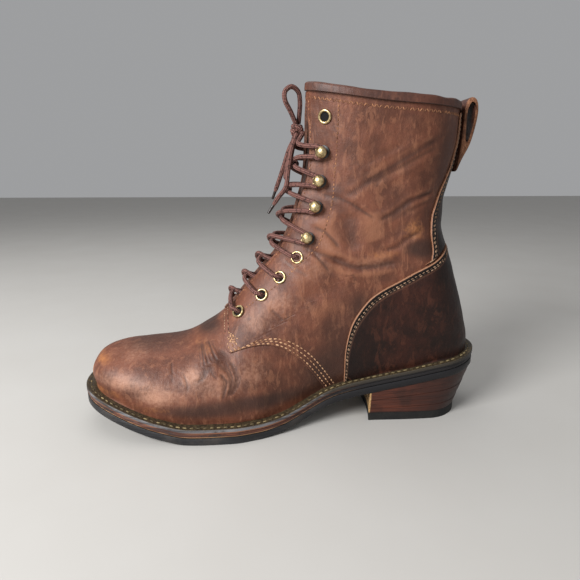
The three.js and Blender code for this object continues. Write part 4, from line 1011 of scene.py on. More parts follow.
# The folded strip over the collar: a U section swept round the top line between the facings.
def buildBinding(name, materials):
    lateral, medial = throatAt(float(lastRow), -1), throatAt(float(lastRow), 1)
    turns = np.linspace(lateral, -medial, 260)
    base = skin(np.full_like(turns, lastRow), turns)
    normal = skinNormal(np.full_like(turns, lastRow), turns)
    normal[:, 2] = 0
    normal = unit(normal)
    top = [(bindingTop["middle"] + bindingTop["half"] * math.cos(bend),
            bindingTop["up"] + bindingTop["tall"] * math.sin(bend)) for bend in np.linspace(0, np.pi, 11)]
    section = np.array(bindingOutside + top + bindingInside)
    count = len(section)
    wave = 0.25 * waves(base, 24.0, 12)[:, None]
    outer = base[:, None] + normal[:, None] * (section[None, :, :1] + wave[..., None] * 0.5)
    outer[..., 2] += section[None, :, 1] + wave * (section[None, :, 1] > -1)
    ends = [list(range(count))[::-1], list(range((len(turns) - 1) * count, len(turns) * count))]
    faces = gridQuads(len(turns), count, closed=True).tolist() + ends
    flat = outer.reshape(-1, 3)
    _, fields = relief(flat)
    fields["edge"] = np.tile(np.abs(section[:, 1] + bindingBand), len(turns))
    turned = [face[::-1] for face in faces]
    piece = addPiece(name, flat, turned, materials, "upper_leather", None, fields)
    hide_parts("collar_binding")


pullLoop = {"height": 0.8, "lead": 3.8, "half": 10.5, "bevel": 0.45, "stations": 90, "noEdge": 9.0}
# Side view of the strap as (back, up) from its foot
loopOutside = [
    (-1.4, -9), (0.3, 0), (1.5, 10), (2, 22), (2.4, 33), (3.2, 40), (6.4, 44), (10.8, 42.4),
    (12.6, 35), (11.4, 24), (8.2, 11), (3.0, 0), (-0.6, -9),
]
loopInside = [
    (5.0, 13), (4.5, 22), (4.5, 33), (5.4, 39.8), (7.6, 41.8), (10.0, 39.8), (10.4, 33), (8.9, 22),
    (6.6, 13),
]


# A strap curve at even stations, begun again at the station where the measure off is least.
def loopCurve(rows, off):
    count = pullLoop["stations"]
    curve = spread(through(rows, 400), count + 1)[:count]
    return np.roll(curve, -np.argmin(off(curve)), 0)


# How far stations are from the outer curve's beginning, 6 up on its front side.
def offOutside(curve):
    return np.abs(curve[:, 1] - 6.0) + (curve[:, 0] > 5) * 99


# How far stations are from the inner curve's beginning.
def offInside(curve):
    return np.linalg.norm(curve - np.array([5.0, 14.0]), axis=1)


# The finger strap at the back: a band between two side view curves, its edges rounded.
def buildPullLoop(name, materials):
    height = pullLoop["height"] * last["height"]
    back = smooth(np.concatenate([[cornerZ], legTable["backZ"]]), sectionColumns["backX"][cornerRow:])
    footX = float(back(height / last["height"])) * last["length"] + pullLoop["lead"]
    outside = loopCurve(loopOutside, offOutside)
    inside = loopCurve(loopInside + loopInside[:1], offInside)
    half, flank = pullLoop["half"], pullLoop["half"] - pullLoop["bevel"]
    middle = (outside + inside) / 2
    outer, inner = outside * 0.75 + middle * 0.25, inside * 0.75 + middle * 0.25
    ring = [
        (outside, -flank), (outside, flank), (outer, half), (inner, half), (inside, flank),
        (inside, -flank), (inner, -half), (outer, -half),
    ]
    points = np.stack([
        np.stack([curve[:, 0] + footX, np.full(len(curve), y), curve[:, 1] + height], -1)
        for curve, y in ring
    ], 1)
    quads = gridQuads(len(points) + 1, len(ring), closed=True) % (len(points) * len(ring))
    flat = points.reshape(-1, 3)
    fields = {"edge": np.full(len(flat), pullLoop["noEdge"])}
    which = np.tile([0, 1, 1, 1, 0, 1, 1, 1], len(points))
    piece = addPiece(name, flat, quads.tolist(), materials, "counter_leather", which, fields, 60)
    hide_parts("pull_loop")


# The sole
# A closed layer: at each station along the sole a loop of points, up the outer side and down the
# inner one; each ring has an inset, a rise and the value of its field top.
def buildLayer(name, node, rings, material, slots):
    share = 0.5 - 0.5 * np.cos(np.pi * np.linspace(0, 1, 241))
    loops, marks = [], []
    for side in (-1, 1):
        for inset, rise, mark in rings[::-side]:
            x = inset + share * (last["length"] - inset - inset)
            half = halfWidth(x, side, evenInset(inset))
            loops.append(np.stack([x, side * half, soleBottom(x) + rise], -1))
            marks.append(mark)
    points = np.stack(loops, 1)
    for end in (0, -1):
        points[end, len(rings):] = points[end, : len(rings)][::-1]
    flat = points.reshape(-1, 3)
    first, back = weld(flat)
    faces = tidyFaces(back[gridQuads(len(share), len(loops), closed=True)])
    # Share of the edge in front of the painted shade at the rear: 1 up to x 150, 0 from x 225.
    frontUnshaded = 1 - softStep(150.0, 225.0, flat[first, 0])
    fields = {"top": np.tile(marks, len(share))[first], "frontUnshaded": frontUnshaded}
    piece = addPiece(name, flat[first], faces, [material], slots, None, fields, 50)
    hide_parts(node)


heel = {
    "breast": 223.0, "hollow": 3.6, "cap": 6.5, "inset": 1.2, "rear": 11.0, "side": 2.5, "lifts": 5,
    "step": 0.15, "gap": 0.2, "stations": 61, "lines": 33,
}


def heelHeight(x, share):
    return heel["cap"] + (soleBottom(np.minimum(x, last["length"])) - heel["gap"] - heel["cap"]) * share


# A grid over the heel at one height share: stations from breast to rear, lines from the outer
# side to the inner one, the breast's hollow fading out behind it.
def heelSurface(share, inset, drop):
    rear = last["length"] - heel["inset"] - heel["rear"] * drop - inset
    front = heel["breast"] + inset
    stretch = (last["length"] - heel["inset"] - front) / (rear - front)
    station = np.sin(np.pi / 2 * np.linspace(0, 1, heel["stations"]))
    x = front + (rear - front) * station
    lines = np.linspace(-1, 1, heel["lines"])
    full = [halfWidth(front + (x - front) * stretch, side, evenInset(heel["inset"])) for side in (-1, 1)]
    outer, inner = [np.maximum(0.0, half - inset - heel["side"] * drop)[:, None] for half in full]
    y = np.where(lines[None] < 0, outer, inner) * lines[None]
    fade = (1 - station) ** 2
    deep = x[:, None] + heel["hollow"] * (1 - lines[None] ** 2) * fade[:, None]
    z = heelHeight(deep, share) if share >= 0 else np.zeros_like(deep)
    return np.stack([deep, y, z], -1), fade


# One slab of the heel between two height shares; low is -1 for the cap, which ends on the ground.
def buildHeelSlab(name, node, low, high, inset, material, slots):
    top, fade = heelSurface(high, inset, min(1.0, 1 - high))
    bottom, _ = heelSurface(low, inset, min(1.0, 1 - low))
    if low >= 0:
        bottom[..., 2] += heel["gap"]
    front = np.broadcast_to((fade > 0.999)[:, None], top.shape[:2]).astype(float)
    # The rear field marks where the heel's sides take painted shade, from x 238 to 284.
    values = {"breast": front, "rear": softStep(238.0, 284.0, top[..., 0])}
    points, faces, _, fields = closedSheet([(top, bottom, False)], [values])
    piece = addPiece(name, points, faces, [material], slots, None, fields)
    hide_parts(node)


# Eyelets, hooks and lace
hardwareRows = [
    # name, x and z as shares, hook, how far the lace above it bulges over the throat
    ("eyelet_1", 0.390, 0.351, False, 2.0), ("eyelet_2", 0.446, 0.404, False, 2.5),
    ("eyelet_3", 0.489, 0.457, False, 3.0), ("eyelet_4", 0.530, 0.517, False, 4.0),
    ("hook_1", 0.557, 0.574, True, 4.6), ("hook_2", 0.575, 0.663, True, 3.0),
    ("hook_3", 0.583, 0.736, True, 0.8), ("hook_4", 0.590, 0.817, True, 0.6),
    ("eyelet_5", 0.590, 0.910, False, 0.0),
]
laceRadius = 1.75


# Where hardware sits: the point on the quarter and the directions away from the throat, up along
# it and out of the leather.
def seatOf(x, z, side):
    row, q = placeOnSkin([x * last["length"]], [z * last["height"]], side)
    turn = sideTurn(q, side)
    normal = skinNormal(row, turn)[0]
    place = skin(row, turn)[0] + normal * (last["quarter"] + last["seat"])
    up = unit(np.array([0.0, 0.0, 1.0]) - normal * normal[2])
    away = unit(np.cross(up, normal) * -side)
    return {"place": place, "away": away, "up": up, "normal": normal}


seats = {(name, side): seatOf(x, z, side) for name, x, z, *_ in hardwareRows for side in (-1, 1)}
latheSides = 32


def onSeat(seat, away, up, out):
    return seat["place"] + seat["away"] * away + seat["up"] * up + seat["normal"] * out


# A profile of (radius, height) points turned round the seat's normal.
def lathe(profile, seat):
    angle = np.linspace(0, 2 * np.pi, latheSides, endpoint=False)[:, None]
    spokes = seat["away"] * np.cos(angle) + seat["up"] * np.sin(angle)
    points = np.stack([onSeat(seat, 0, 0, z) + radius * spokes for radius, z in profile], 1)
    quads = gridQuads(latheSides + 1, len(profile), closed=True) % (latheSides * len(profile))
    flat = points.reshape(-1, 3)
    first, back = weld(flat)
    faces = tidyFaces(back[quads])
    if np.dot(np.cross(seat["away"], seat["up"]), seat["normal"]) < 0:
        faces = [face[::-1] for face in faces]
    return flat[first], faces


# Several closed shapes as one list of points and faces.
def joined(parts):
    points, faces, start = [], [], 0
    for some, sides in parts:
        points.append(some)
        faces += [[corner + start for corner in face] for face in sides]
        start += len(some)
    return np.concatenate(points), faces


# Profile of a rolled ring: its upper side is half an ellipse.
def roundRing(inner, outer, low, high):
    middle, wide = (inner + outer) / 2, (outer - inner) / 2
    bends = np.linspace(0, np.pi, 9)
    top = [(middle + wide * math.cos(bend), low + (high - low) * math.sin(bend)) for bend in bends]
    return top + [(inner, low - 2.0), (inner + 0.4, low - 2.0), (inner + 0.4, low - 0.1), (outer, low - 0.1)]


eyelet = {"hole": 3.1, "flange": 5.1, "tall": 1.0}
# A disc in the eyelet's hole, dark as painted shade.
eyeletHoleShade = [(0.0, -0.25), (3.2, -0.25), (3.2, -0.6), (0.0, -0.6)]


# An eyelet: a brass ring and, in its hole, a disc of painted shade.
def buildEyelet(name, seat, brass, dark):
    ring = lathe(roundRing(eyelet["hole"], eyelet["flange"], 0.0, eyelet["tall"]), seat)
    hole = lathe(eyeletHoleShade, seat)
    points, faces = joined([ring, hole])
    which = [0] * len(ring[1]) + [1] * len(hole[1])
    piece = addPiece(f"{name}_ring", points, faces, [brass, dark], "brass", which, None, 60)
    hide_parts(name)


hookBaseProfile = [(0, 0.8), (4.2, 0.8), (4.6, 0.6), (4.65, 0.25), (4.5, 0), (0, 0)]
hookDomeProfile = [
    (0.0, 7.5), (1.1, 7.4), (2.2, 7.1), (3.1, 6.6), (3.8, 5.95), (4.15, 5.3), (4.15, 4.95),
    (3.9, 4.8), (3.3, 5.1), (0.0, 5.6),
]
hookStem = {"front": -2.7, "back": -3.9, "half": 2.2, "heights": [0.4, 2.0, 3.6, 5.6], "lines": 9}


# A hook: a base in near black, partly its own colour and partly painted shadow under the dome, a dome, and
# the flat stem between them, on the side away from the lace.
def buildHook(name, seat, brass, dark):
    base = lathe(hookBaseProfile, seat)
    head = lathe(hookDomeProfile, seat)
    rows, lines = len(hookStem["heights"]), hookStem["lines"]
    out = np.array(hookStem["heights"])[:, None, None]
    across = (np.linspace(-1, 1, lines) * hookStem["half"])[None, :, None]
    walls = [onSeat(seat, hookStem[face], across, out).reshape(-1, 3) for face in ("back", "front")]
    count = rows * lines
    grid = np.arange(count).reshape(rows, lines)
    outline = np.concatenate([grid[0], grid[1:, -1], grid[-1, -2::-1], grid[-2:0:-1, 0]])
    after = np.roll(outline, -1)
    rim = np.stack([outline, after, after + count, outline + count], -1)
    stem = np.concatenate([gridQuads(rows, lines), gridQuads(rows, lines, count, flip=True), rim]).tolist()
    points, faces = joined([base, head, (np.concatenate(walls), stem)])
    which = [1] * len(base[1]) + [0] * (len(head[1]) + len(stem))
    piece = addPiece(f"{name}_brass", points, faces, [brass, dark], "brass", which, None, 50)
    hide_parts(name)


# Two directions square to a path at each of its points, turned as little as possible.
def frames(path):
    tangent = unit(np.gradient(path, axis=0))
    side = np.zeros_like(path)
    start = np.cross(tangent[0], [0.3, 0.9, 0.2])
    side[0] = start / np.linalg.norm(start)
    for i in range(1, len(path)):
        turned = side[i - 1] - tangent[i] * np.dot(side[i - 1], tangent[i])
        side[i] = turned / np.linalg.norm(turned)
    return side, np.cross(tangent, side)


# Sections of a rounded cord end as shares of the radius, and how far out the roundest point is.
capShares = np.array([1.0, 0.94, 0.75, 0.4, 0.0])
capReach = 0.6


# A round tube along a path with rounded ends, and how far along and round it each point is.
def tube(path, radius, around=14, closed=False):
    path = np.asarray(path, float)
    radius = np.broadcast_to(np.asarray(radius, float), len(path)).copy()
    distance = along(path, 0)
    if not closed:
        front, rear = unit(path[0] - path[1]), unit(path[-1] - path[-2])
        out = np.sqrt(1 - capShares**2)[:, None]
        head = path[0] + front * out[::-1][:-1] * radius[0] * capReach
        tail = path[-1] + rear * out[1:] * radius[-1] * capReach
        path = np.concatenate([head, path, tail])
        radius = np.concatenate([capShares[::-1][:-1] * radius[0], radius, capShares[1:] * radius[-1]])
        distance = np.concatenate([np.full(4, distance[0]), distance, np.full(4, distance[-1])])
    first, second = frames(path)
    angle = np.linspace(0, 2 * np.pi, around, endpoint=False)
    turns = angle[None, :, None]
    ring = first[:, None] * np.cos(turns) + second[:, None] * np.sin(turns)
    points = path[:, None] + ring * np.maximum(radius, 1e-4)[:, None, None]
    flat = points.reshape(-1, 3)
    quads = gridQuads(len(path) + closed, around, closed=True) % len(flat)
    fields = {"along": np.repeat(distance, around), "around": np.tile(angle, len(path))}
    keep, back = weld(flat)
    return flat[keep], tidyFaces(back[quads]), {name: value[keep] for name, value in fields.items()}


# One strand from a piece of hardware over the throat to the next one on the other side.
def laceStrand(low, high, side, lift):
    start, end = seats[(low[0], side)], seats[(high[0], -side)]
    fromHook, toHook, bulge = low[3], high[3], low[4]
    if fromHook:
        leave = [(0.6, 0.0, 3.0), (-0.6, 2.9, 3.0), (-3.6, 4.0, 3.2)]
    else:
        leave = [(0, 0, -3.0), (0, 0, 0.4), (-1.6, 0.4, 2.6), (-5.6, 1.6, 2.9)]
    points = [onSeat(start, *place) for place in leave]
    lowZ, highZ = points[-1][2], end["place"][2]
    over = last["quarter"] + laceRadius + 1.4

    def acrossThroat(share, way, inside, out):
        z = lowZ + (highZ - lowZ) * share
        return frontPoint(z, way * (throatHalf(z) - inside), out)

    points.append(acrossThroat(0.3 if fromHook else 0.22, side, 1.0, over + bulge * 0.45))
    points.append(frontPoint(lowZ + (highZ - lowZ) * 0.5, 0.0, over + bulge + lift))
    if toHook:
        points.append(acrossThroat(0.74, -side, 1.0, over + bulge * 0.3))
        arrive = [(-6.6, -3.0, 2.9), (-3.6, -4.0, 3.0), (-0.6, -2.9, 3.0), (0.6, 0.0, 3.0)]
    else:
        points.append(acrossThroat(0.72, -side, 3.4, -1.2))
        arrive = [(-5.0, -0.6, -5.0), (-1.6, 0, -5.2), (0, 0, -3.0)]
    return points + [onSeat(end, *place) for place in arrive]


knot = {"z": 222.0, "y": -3.0, "lift": 7.0, "wide": 7.4, "tall": 4.6, "deep": 4.2, "gap": 0.65}
bowOrigin = frontPoint(knot["z"], knot["y"], knot["lift"])
# Routes of the bow from the middle of the knot
bow = {
    "lace_loop_up": [
        (-1.5, -3, 6), (-5, -6, 12), (-9.2, -9.4, 19), (-9.4, -10.4, 25), (-4.6, -8.6, 28.6),
        (0.6, -5.2, 25.6), (2.0, -2.6, 19), (1.8, -1.4, 12), (1.6, 0.6, 6.2),
    ],
    "lace_loop_down": [
        (-2.4, 1, -6.2), (-4, 4.2, -14), (-6, 7.4, -23), (-7.6, 7.4, -30), (-8.2, 2.4, -34.4),
        (-7.2, -3.2, -31), (-5.4, -4.4, -23), (-3.8, -3.8, -15), (-1.6, -3.4, -7.2),
    ],
    "lace_end_lateral": [
        (-1, -8.4, -5.4), (-4.6, -9, -14), (-7, -10, -28), (-9, -11.4, -41), (-15, -13, -49),
        (-21, -14.5, -58),
    ],
    "lace_end_medial": [
        (0, 8.6, -5.4), (-4.8, 12, -13), (-9, 15, -26), (-13, 17.4, -38), (-17, 18.4, -49),
    ],
}
farEnds = {
    "lace_loop_up": "object", "lace_loop_down": "object", "lace_end_lateral": "fitting",
    "lace_end_medial": "fitting",
}
tipRadii = [1.6, 1.3, 1.05, 0.95, 0.85]  # of the cord inside its aglet
agletRadii = [1.3, 1.5, 1.35, 1.25, 1.2, 1.15, 1.1, 1.1, 1.05, 0.9]
agletPast = 2.0


def besideKnot(point):
    size = np.array([knot["deep"], knot["wide"], knot["tall"]])
    way = np.array(point, float)
    onSurface = way / np.linalg.norm(way / size)
    return bowOrigin + onSurface + way / np.linalg.norm(way) * knot["gap"]


def bowPath(name):
    rows = bow[name]
    path = [bowOrigin + np.array(row, float) for row in rows]
    path[0] = besideKnot(rows[0])
    if farEnds[name] == "object":
        path[-1] = besideKnot(rows[-1])
    return path


def buildCord(name, lace, dark):
    path = spread(through(bowPath(name), 400), 36)
    radius = np.full(len(path), laceRadius)
    tagged = farEnds[name] == "fitting"
    if tagged:
        radius[-len(tipRadii):] = tipRadii
    points, faces, fields = tube(path, radius)
    piece = addPiece(name.replace("lace", "bow"), points, faces, [lace], "lace_cord", None, fields, 80)
    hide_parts(name)
    if tagged:
        way = unit(path[-1] - path[-3])
        tip = spread(np.concatenate([path[-6:], path[-1:] + way * agletPast]), len(agletRadii))
        points, faces, _ = tube(tip, agletRadii)
        tagName = name.replace("lace_end", "aglet")
        addPiece(tagName, points, faces, [dark], "lace_cord", None, None, 60)
    route = toRow(path)


# The knot: a closed cord wound three times through itself, squeezed into the knot's size, over a
# small core.
def buildKnot(lace):
    turn = np.linspace(0, 2 * np.pi, 90, endpoint=False)
    winding = np.stack([
        -np.sin(3 * turn) * 0.9, np.sin(turn) + 2 * np.sin(2 * turn), np.cos(turn) - 2 * np.cos(2 * turn),
    ], -1)
    size = np.array([knot["deep"] - 1.0, knot["wide"] - 1.2, knot["tall"] - 1.0]) / [1.0, 3.0, 3.0]
    points, faces, fields = tube(bowOrigin + winding * size, laceRadius, closed=True)
    core = bowOrigin + np.linspace(-1, 1, 9)[:, None] * [0, 4.4, 0]
    ball = tube(core, 3.0 * np.sqrt(1 - np.linspace(-0.95, 0.95, 9) ** 2))
    points, faces = joined([(points, faces), ball[:2]])
    fields = {key: np.concatenate([fields[key], ball[2][key]]) for key in fields}
    piece = addPiece("bow_knot", points, faces, [lace], "lace_cord", None, fields, 80)
    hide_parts("lace_knot")


laceRun = {"stations": 760, "around": 12, "pass": 1.75}  # pass: how far crossing strands part


# Two strands that cross from the bottom eyelets up to the knot, as one piece.
def buildLaces(name, lace):
    parts, fields = [], []
    for start in (-1, 1):
        side, points = start, []
        for index, (low, high) in enumerate(zip(hardwareRows[:-2], hardwareRows[1:-1])):
            lift = laceRun["pass"] if (index + (start > 0)) % 2 else -laceRun["pass"]
            strand = laceStrand(low, high, side, lift)
            points += strand[1:] if points else strand
            side = -side
        top = seats[("hook_4", side)]
        points += [onSeat(top, -0.6, 2.9, 3.0), onSeat(top, -3.6, 4.0, 3.2)]
        height = top["place"][2] + 5.5
        over = last["quarter"] + laceRadius + 2.0
        points.append(frontPoint(height, side * (throatHalf(height) - 3.0), over + 0.6))
        points.append(bowOrigin + np.array([knot["deep"] - 0.5, side * 5.0, -3.0]))
        points.append(bowOrigin + np.array([knot["deep"] - 2.0, side * 2.0, -1.0]))
        if start < 0:
            bar, first = seats[("eyelet_1", 1)], seats[("eyelet_1", -1)]
            under = [onSeat(bar, 0, 0, -3.0), onSeat(bar, -4.0, 0, -5.0)]
            under += [frontPoint(92.0, y, -2.3) for y in (5.0, 0.0, -5.0)]
            points = under + [onSeat(first, -4.0, 0, -5.0)] + points
        path = spread(through(points, 1600), laceRun["stations"])
        tubePoints, faces, values = tube(path, laceRadius, laceRun["around"])
        parts.append((tubePoints, faces))
        fields.append(values)
    points, faces = joined(parts)
    both = {key: np.concatenate([values[key] for values in fields]) for key in fields[0]}
    piece = addPiece(name, points, faces, [lace], "lace_cord", None, both, 80)
    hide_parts(*[f"lace_crossing_{k}" for k in range(1, len(hardwareRows))])


# Stitches
# One stitch of unit length, width and height: a flattened sausage along x.
def capsule(around=8, rings=5):
    station = np.linspace(-1, 1, rings)
    radius = np.repeat(np.sqrt(np.maximum(1 - np.abs(station) ** 3.2, 0.0)), around)
    angle = np.tile(np.linspace(0, 2 * np.pi, around, endpoint=False), rings)
    sides = [np.cos(angle) * radius / 2, np.sin(angle) * radius / 2]
    points = np.stack([np.repeat(station / 2, around), *sides], -1)
    first, back = weld(points, 4)
    faces = tidyFaces(back[gridQuads(rings, around, closed=True)])
    return points[first], np.array([face + [face[-1]] * (4 - len(face)) for face in faces])


stitchShape = capsule()


# Stitches along a path on the leather: where each lies and its three directions.
def stitchRow(path, normal, pitch, length, wide, high, seed, skew=0.0, wobble=0.06):
    random = np.random.default_rng(seed)
    way = along(path, 0)
    count = max(2, int(way[-1] / pitch))
    at = (np.arange(count) + 0.5) * way[-1] / count
    place = np.stack([np.interp(at, way, path[:, k]) for k in range(3)], -1)
    out = unit(np.stack([np.interp(at, way, normal[:, k]) for k in range(3)], -1))
    ahead = np.stack([np.interp(at + 0.5, way, path[:, k]) for k in range(3)], -1)
    behind = np.stack([np.interp(at - 0.5, way, path[:, k]) for k in range(3)], -1)
    tangent = unit(ahead - behind)
    across = unit(np.cross(out, tangent))
    lean = skew + random.normal(0, wobble, count)
    axis = unit(tangent * np.cos(lean)[:, None] + across * np.sin(lean)[:, None])
    across = unit(np.cross(out, axis))
    out = np.cross(axis, across)
    size = np.stack([np.full(count, length), np.full(count, wide), np.full(count, high)], -1)
    size *= random.uniform(0.88, 1.1, (count, 1))
    return place, axis, across, out, size


def buildStitches(name, rows, thread, slots):
    place, axis, across, out, size = [np.concatenate(part) for part in zip(*rows)]
    points, faces = stitchShape
    made = place[:, None]
    for k, way in enumerate((axis, across, out)):
        made = made + points[None, :, k:k + 1] * (way * size[:, k:k + 1])[:, None]
    start = np.arange(len(place))[:, None, None] * len(points)
    tidy = tidyFaces((faces[None] + start).reshape(-1, 4))
    random = np.random.default_rng(len(place))
    tone = np.repeat(random.uniform(0, 1, len(place)), len(points))
    addPiece(name, made.reshape(-1, 3), tidy, [thread], slots, None, {"tone": tone}, 80)


# Row and share from the foot where a panel's distance field reaches a value, for each line of it.
def level(grid, key, distance, axis):
    field, row, q = [part if axis == 0 else part.T for part in (grid[key], grid["row"], grid["q"])]
    found = []
    for line in range(field.shape[1]):
        order = slice(None, None, -1 if field[0, line] > field[-1, line] else 1)
        values = field[order, line]
        found.append([np.interp(distance, values, part[order, line]) for part in (row, q)])
    return np.array(found).T


# Points and normals on a panel along a line of rows and shares.
def onPanel(row, q, side, lift):
    turn = sideTurn(q, side)
    points, _ = surface(row, turn, lift)
    return points, skinNormal(row, turn)


# Materials
# Browns of each leather. The crease colour is painted shade for crease troughs and stitched channels; the
# stain colour serves both real stains and painted shade.
tones = {
    "upper": {"dark": (76, 41, 27), "mid": (106, 60, 41), "light": (144, 95, 69), "scuff": (184, 120, 66),
              "pale": (190, 143, 118), "stain": (42, 23, 16), "creaseShade": (52, 27, 18), "raw": (90, 56, 42)},
    # The counter's browns are dark partly as its own darker leather and partly as painted shade over the rear
    # of the boot.
    "counter": {"dark": (24, 10, 6), "mid": (48, 21, 13), "light": (80, 44, 30), "scuff": (124, 70, 40),
                "pale": (92, 60, 44), "stain": (16, 8, 6), "creaseShade": (9, 5, 4), "raw": (156, 114, 88)},
    "collar": {"dark": (56, 30, 22), "mid": (84, 48, 35), "light": (112, 70, 52), "scuff": (130, 84, 52),
               "pale": (120, 80, 60), "stain": (36, 22, 18), "creaseShade": (36, 20, 14), "raw": (60, 36, 28)},
    "tongue": {"dark": (44, 26, 20), "mid": (76, 46, 35), "light": (100, 66, 50), "scuff": (112, 72, 50),
               "pale": (112, 80, 64), "stain": (40, 26, 22), "creaseShade": (30, 18, 13), "raw": (80, 52, 40)},
}


# Oiled leather: mottled browns, stains and painted shade, rubbed fold ridges paler as wear and painted
# highlight, scuffed places, painted shade in the troughs of creases, a raw edge, painted shade in the
# stitched channel along it with a painted highlight on its ridge, and a pebbled grain with fine wrinkles.
def leather(name, colours, gloss=0.5, rawWide=0.4, channel=0.0, shine=0.4):
    made = Finish(name, Coat_Weight=0.05, Coat_Roughness=0.35, Specular_IOR_Level=shine)
    cloud = made.noise(62.0, 4.0)
    patch = made.noise(19.0, 3.0)
    fine = made.noise(420.0, 3.0, 0.65)
    streak = made.noise(1.0, 4.0, coords=made.stretched((320.0, 320.0, 150.0), (0.0, 0.5, 0.0)))
    craze = made.noise(1.0, 5.0, 0.65, made.stretched((190.0, 190.0, 60.0), (0.0, -0.45, 0.0)), 0.6)
    speck = made.noise(900.0, 2.0, 0.7)
    stain, scuff = made.field("stain"), made.field("scuff")
    pale, troughShade, rubAndSheen = made.field("pale"), made.field("troughShade"), made.field("rubAndSheen")
    edge = made.field("edge")
    colour = made.mix((cloud * 0.6 + patch * 0.4).between(0.36, 0.62), colours["dark"], colours["mid"])
    colour = made.mix(streak.between(0.46, 0.72) * 0.2, colour, colours["light"])
    colour = made.mix(craze.between(0.53, 0.61) * 0.36, colour, colours["light"])
    colour = made.mix(fine.between(0.5, 0.7) * 0.4, colour, colours["dark"])
    # Stains and painted shade darken the colour together.
    colour = made.mix((stain * 1.2 + cloud * 0.5 - 0.5).between(0.1, 0.75) * 0.8, colour, colours["stain"])
    paled = (pale + fine * 0.7 + cloud * 0.6 - 0.95).between(0.0, 0.8)
    colour = made.mix(paled * 0.62, colour, colours["pale"])
    scuffed = (scuff + cloud * 0.7 + fine * 0.5 - 0.8).between(0.05, 0.7)
    colour = made.mix(scuffed * 0.8, colour, colours["scuff"])
    # Fold ridges paler: rub wear and painted highlight.
    colour = made.mix((rubAndSheen * 0.8 + craze * 0.5 - 0.35).between(0.1, 0.7) * 0.55, colour, colours["light"])
    # Painted shade in the troughs of creases.
    colour = made.mix(troughShade.between(0.1, 0.85) * 0.68, colour, colours["creaseShade"])
    # Painted shade in the sunken stitch channel, and a painted highlight on the ridge beside it.
    if channel:
        channelShade = edge.between(rawWide, rawWide + 0.5) * (1 - edge.between(channel - 1.0, channel))
        ridgeHighlight = edge.between(channel - 0.4, channel + 0.1) * (1 - edge.between(channel + 0.5, channel + 1.5))
        colour = made.mix(channelShade * 0.92, colour, colours["creaseShade"])
        colour = made.mix(ridgeHighlight * 0.4, colour, colours["pale"])
    raw = (edge + fine * 0.6 - 0.3).between(rawWide - 0.25, rawWide + 0.15)
    colour = made.mix((1 - raw) * 0.92, colour, colours["raw"])
    pebble = made.cells(1150.0)
    wrinkle = made.noise(240.0, 4.0, 0.6)
    height = pebble * 0.3 + fine * 0.5 + wrinkle * 0.6 + streak * 0.2 + craze * 1.5
    roughness = made.noise(130.0, 2.0) * 0.22 + scuff * 0.14 + (gloss - 0.1) + speck * 0.06
    return made.finish(colour, roughness, height, 0.00034, 0.8)


# The cut edge of leather: fibrous tan.
def rawEdge(name, colours):
    made = Finish(name, Specular_IOR_Level=0.3)
    grain = made.noise(700.0, 3.0, 0.7)
    dirt = made.noise(90.0, 3.0)
    colour = made.mix(grain.between(0.35, 0.7), colours[0], colours[1])
    colour = made.mix(dirt.between(0.5, 0.72) * 0.7, colour, colours[2])
    return made.finish(colour, 0.8, grain, 0.0002, 0.6)


# A layer's edge: fine lines along it, worn patches, another colour on its top side, and painted shade towards
# the rear in the rear colours.
def banded(name, side, top, low, patched, rear):
    made = Finish(name, Specular_IOR_Level=0.4)
    line = made.noise(1.0, 3.0, coords=made.stretched((28.0, 28.0, 900.0)))
    patch = made.noise(48.0, 4.0)
    fine = made.noise(520.0, 3.0, 0.7)
    colour = made.mix(line.between(0.35, 0.65), side[0], side[1])
    colour = made.mix((patch * 0.8 + fine * 0.3).between(0.5, 0.72), colour, patched)
    mark = made.field("top")
    # Painted shade: the side and lower colours darken to the rear colours behind the waist.
    colour = made.mix((1 - made.field("frontUnshaded") + patch * 0.5 - 0.25).between(0.2, 0.8), colour, rear[0])
    low = [made.mix(1 - made.field("frontUnshaded"), shade, rear[1]) for shade in low]
    below = made.mix(line.between(0.4, 0.6), low[0], low[1])
    colour = made.mix((0 - mark).between(0.35, 0.65), colour, below)
    above = made.mix(fine.between(0.4, 0.65), top[0], top[1])
    colour = made.mix(mark.between(0.2, 0.8), colour, above)
    height = line * 0.8 + fine * 0.5 + patch
    return made.finish(colour, fine * 0.25 + 0.4, height, 0.0003, 0.6)


# Stacked leather: red brown sides with fine lines, darkened towards the rear by painted shade, and a bare
# beige breast.
def heelStack(name):
    made = Finish(name, Specular_IOR_Level=0.4)
    line = made.noise(1.0, 4.0, coords=made.stretched((14.0, 14.0, 1500.0)))
    patch = made.noise(70.0, 3.0)
    fine = made.noise(600.0, 3.0, 0.7)
    colour = made.mix(line.between(0.3, 0.7), (54, 25, 17), (92, 46, 31))
    colour = made.mix(patch.between(0.45, 0.72) * 0.6, colour, (34, 18, 14))
    # Painted shade over the rear of the heel.
    colour = made.mix(made.field("rear") * 0.7, colour, (34, 17, 13))
    breast = made.mix(fine.between(0.35, 0.7), (168, 130, 84), (206, 168, 118))
    colour = made.mix(made.field("breast").between(0.3, 0.7), colour, breast)
    return made.finish(colour, 0.42 + fine * 0.2, line + fine * 0.4, 0.00012, 0.5)


def rubber(name, tone, dust):
    made = Finish(name, Specular_IOR_Level=0.4)
    fine = made.noise(650.0, 3.0, 0.7)
    patch = made.noise(60.0, 4.0)
    colour = made.mix((patch * 0.7 + fine * 0.4).between(0.45, 0.75), tone, dust)
    return made.finish(colour, 0.62 + fine * 0.2, fine + patch, 0.0003, 0.6)


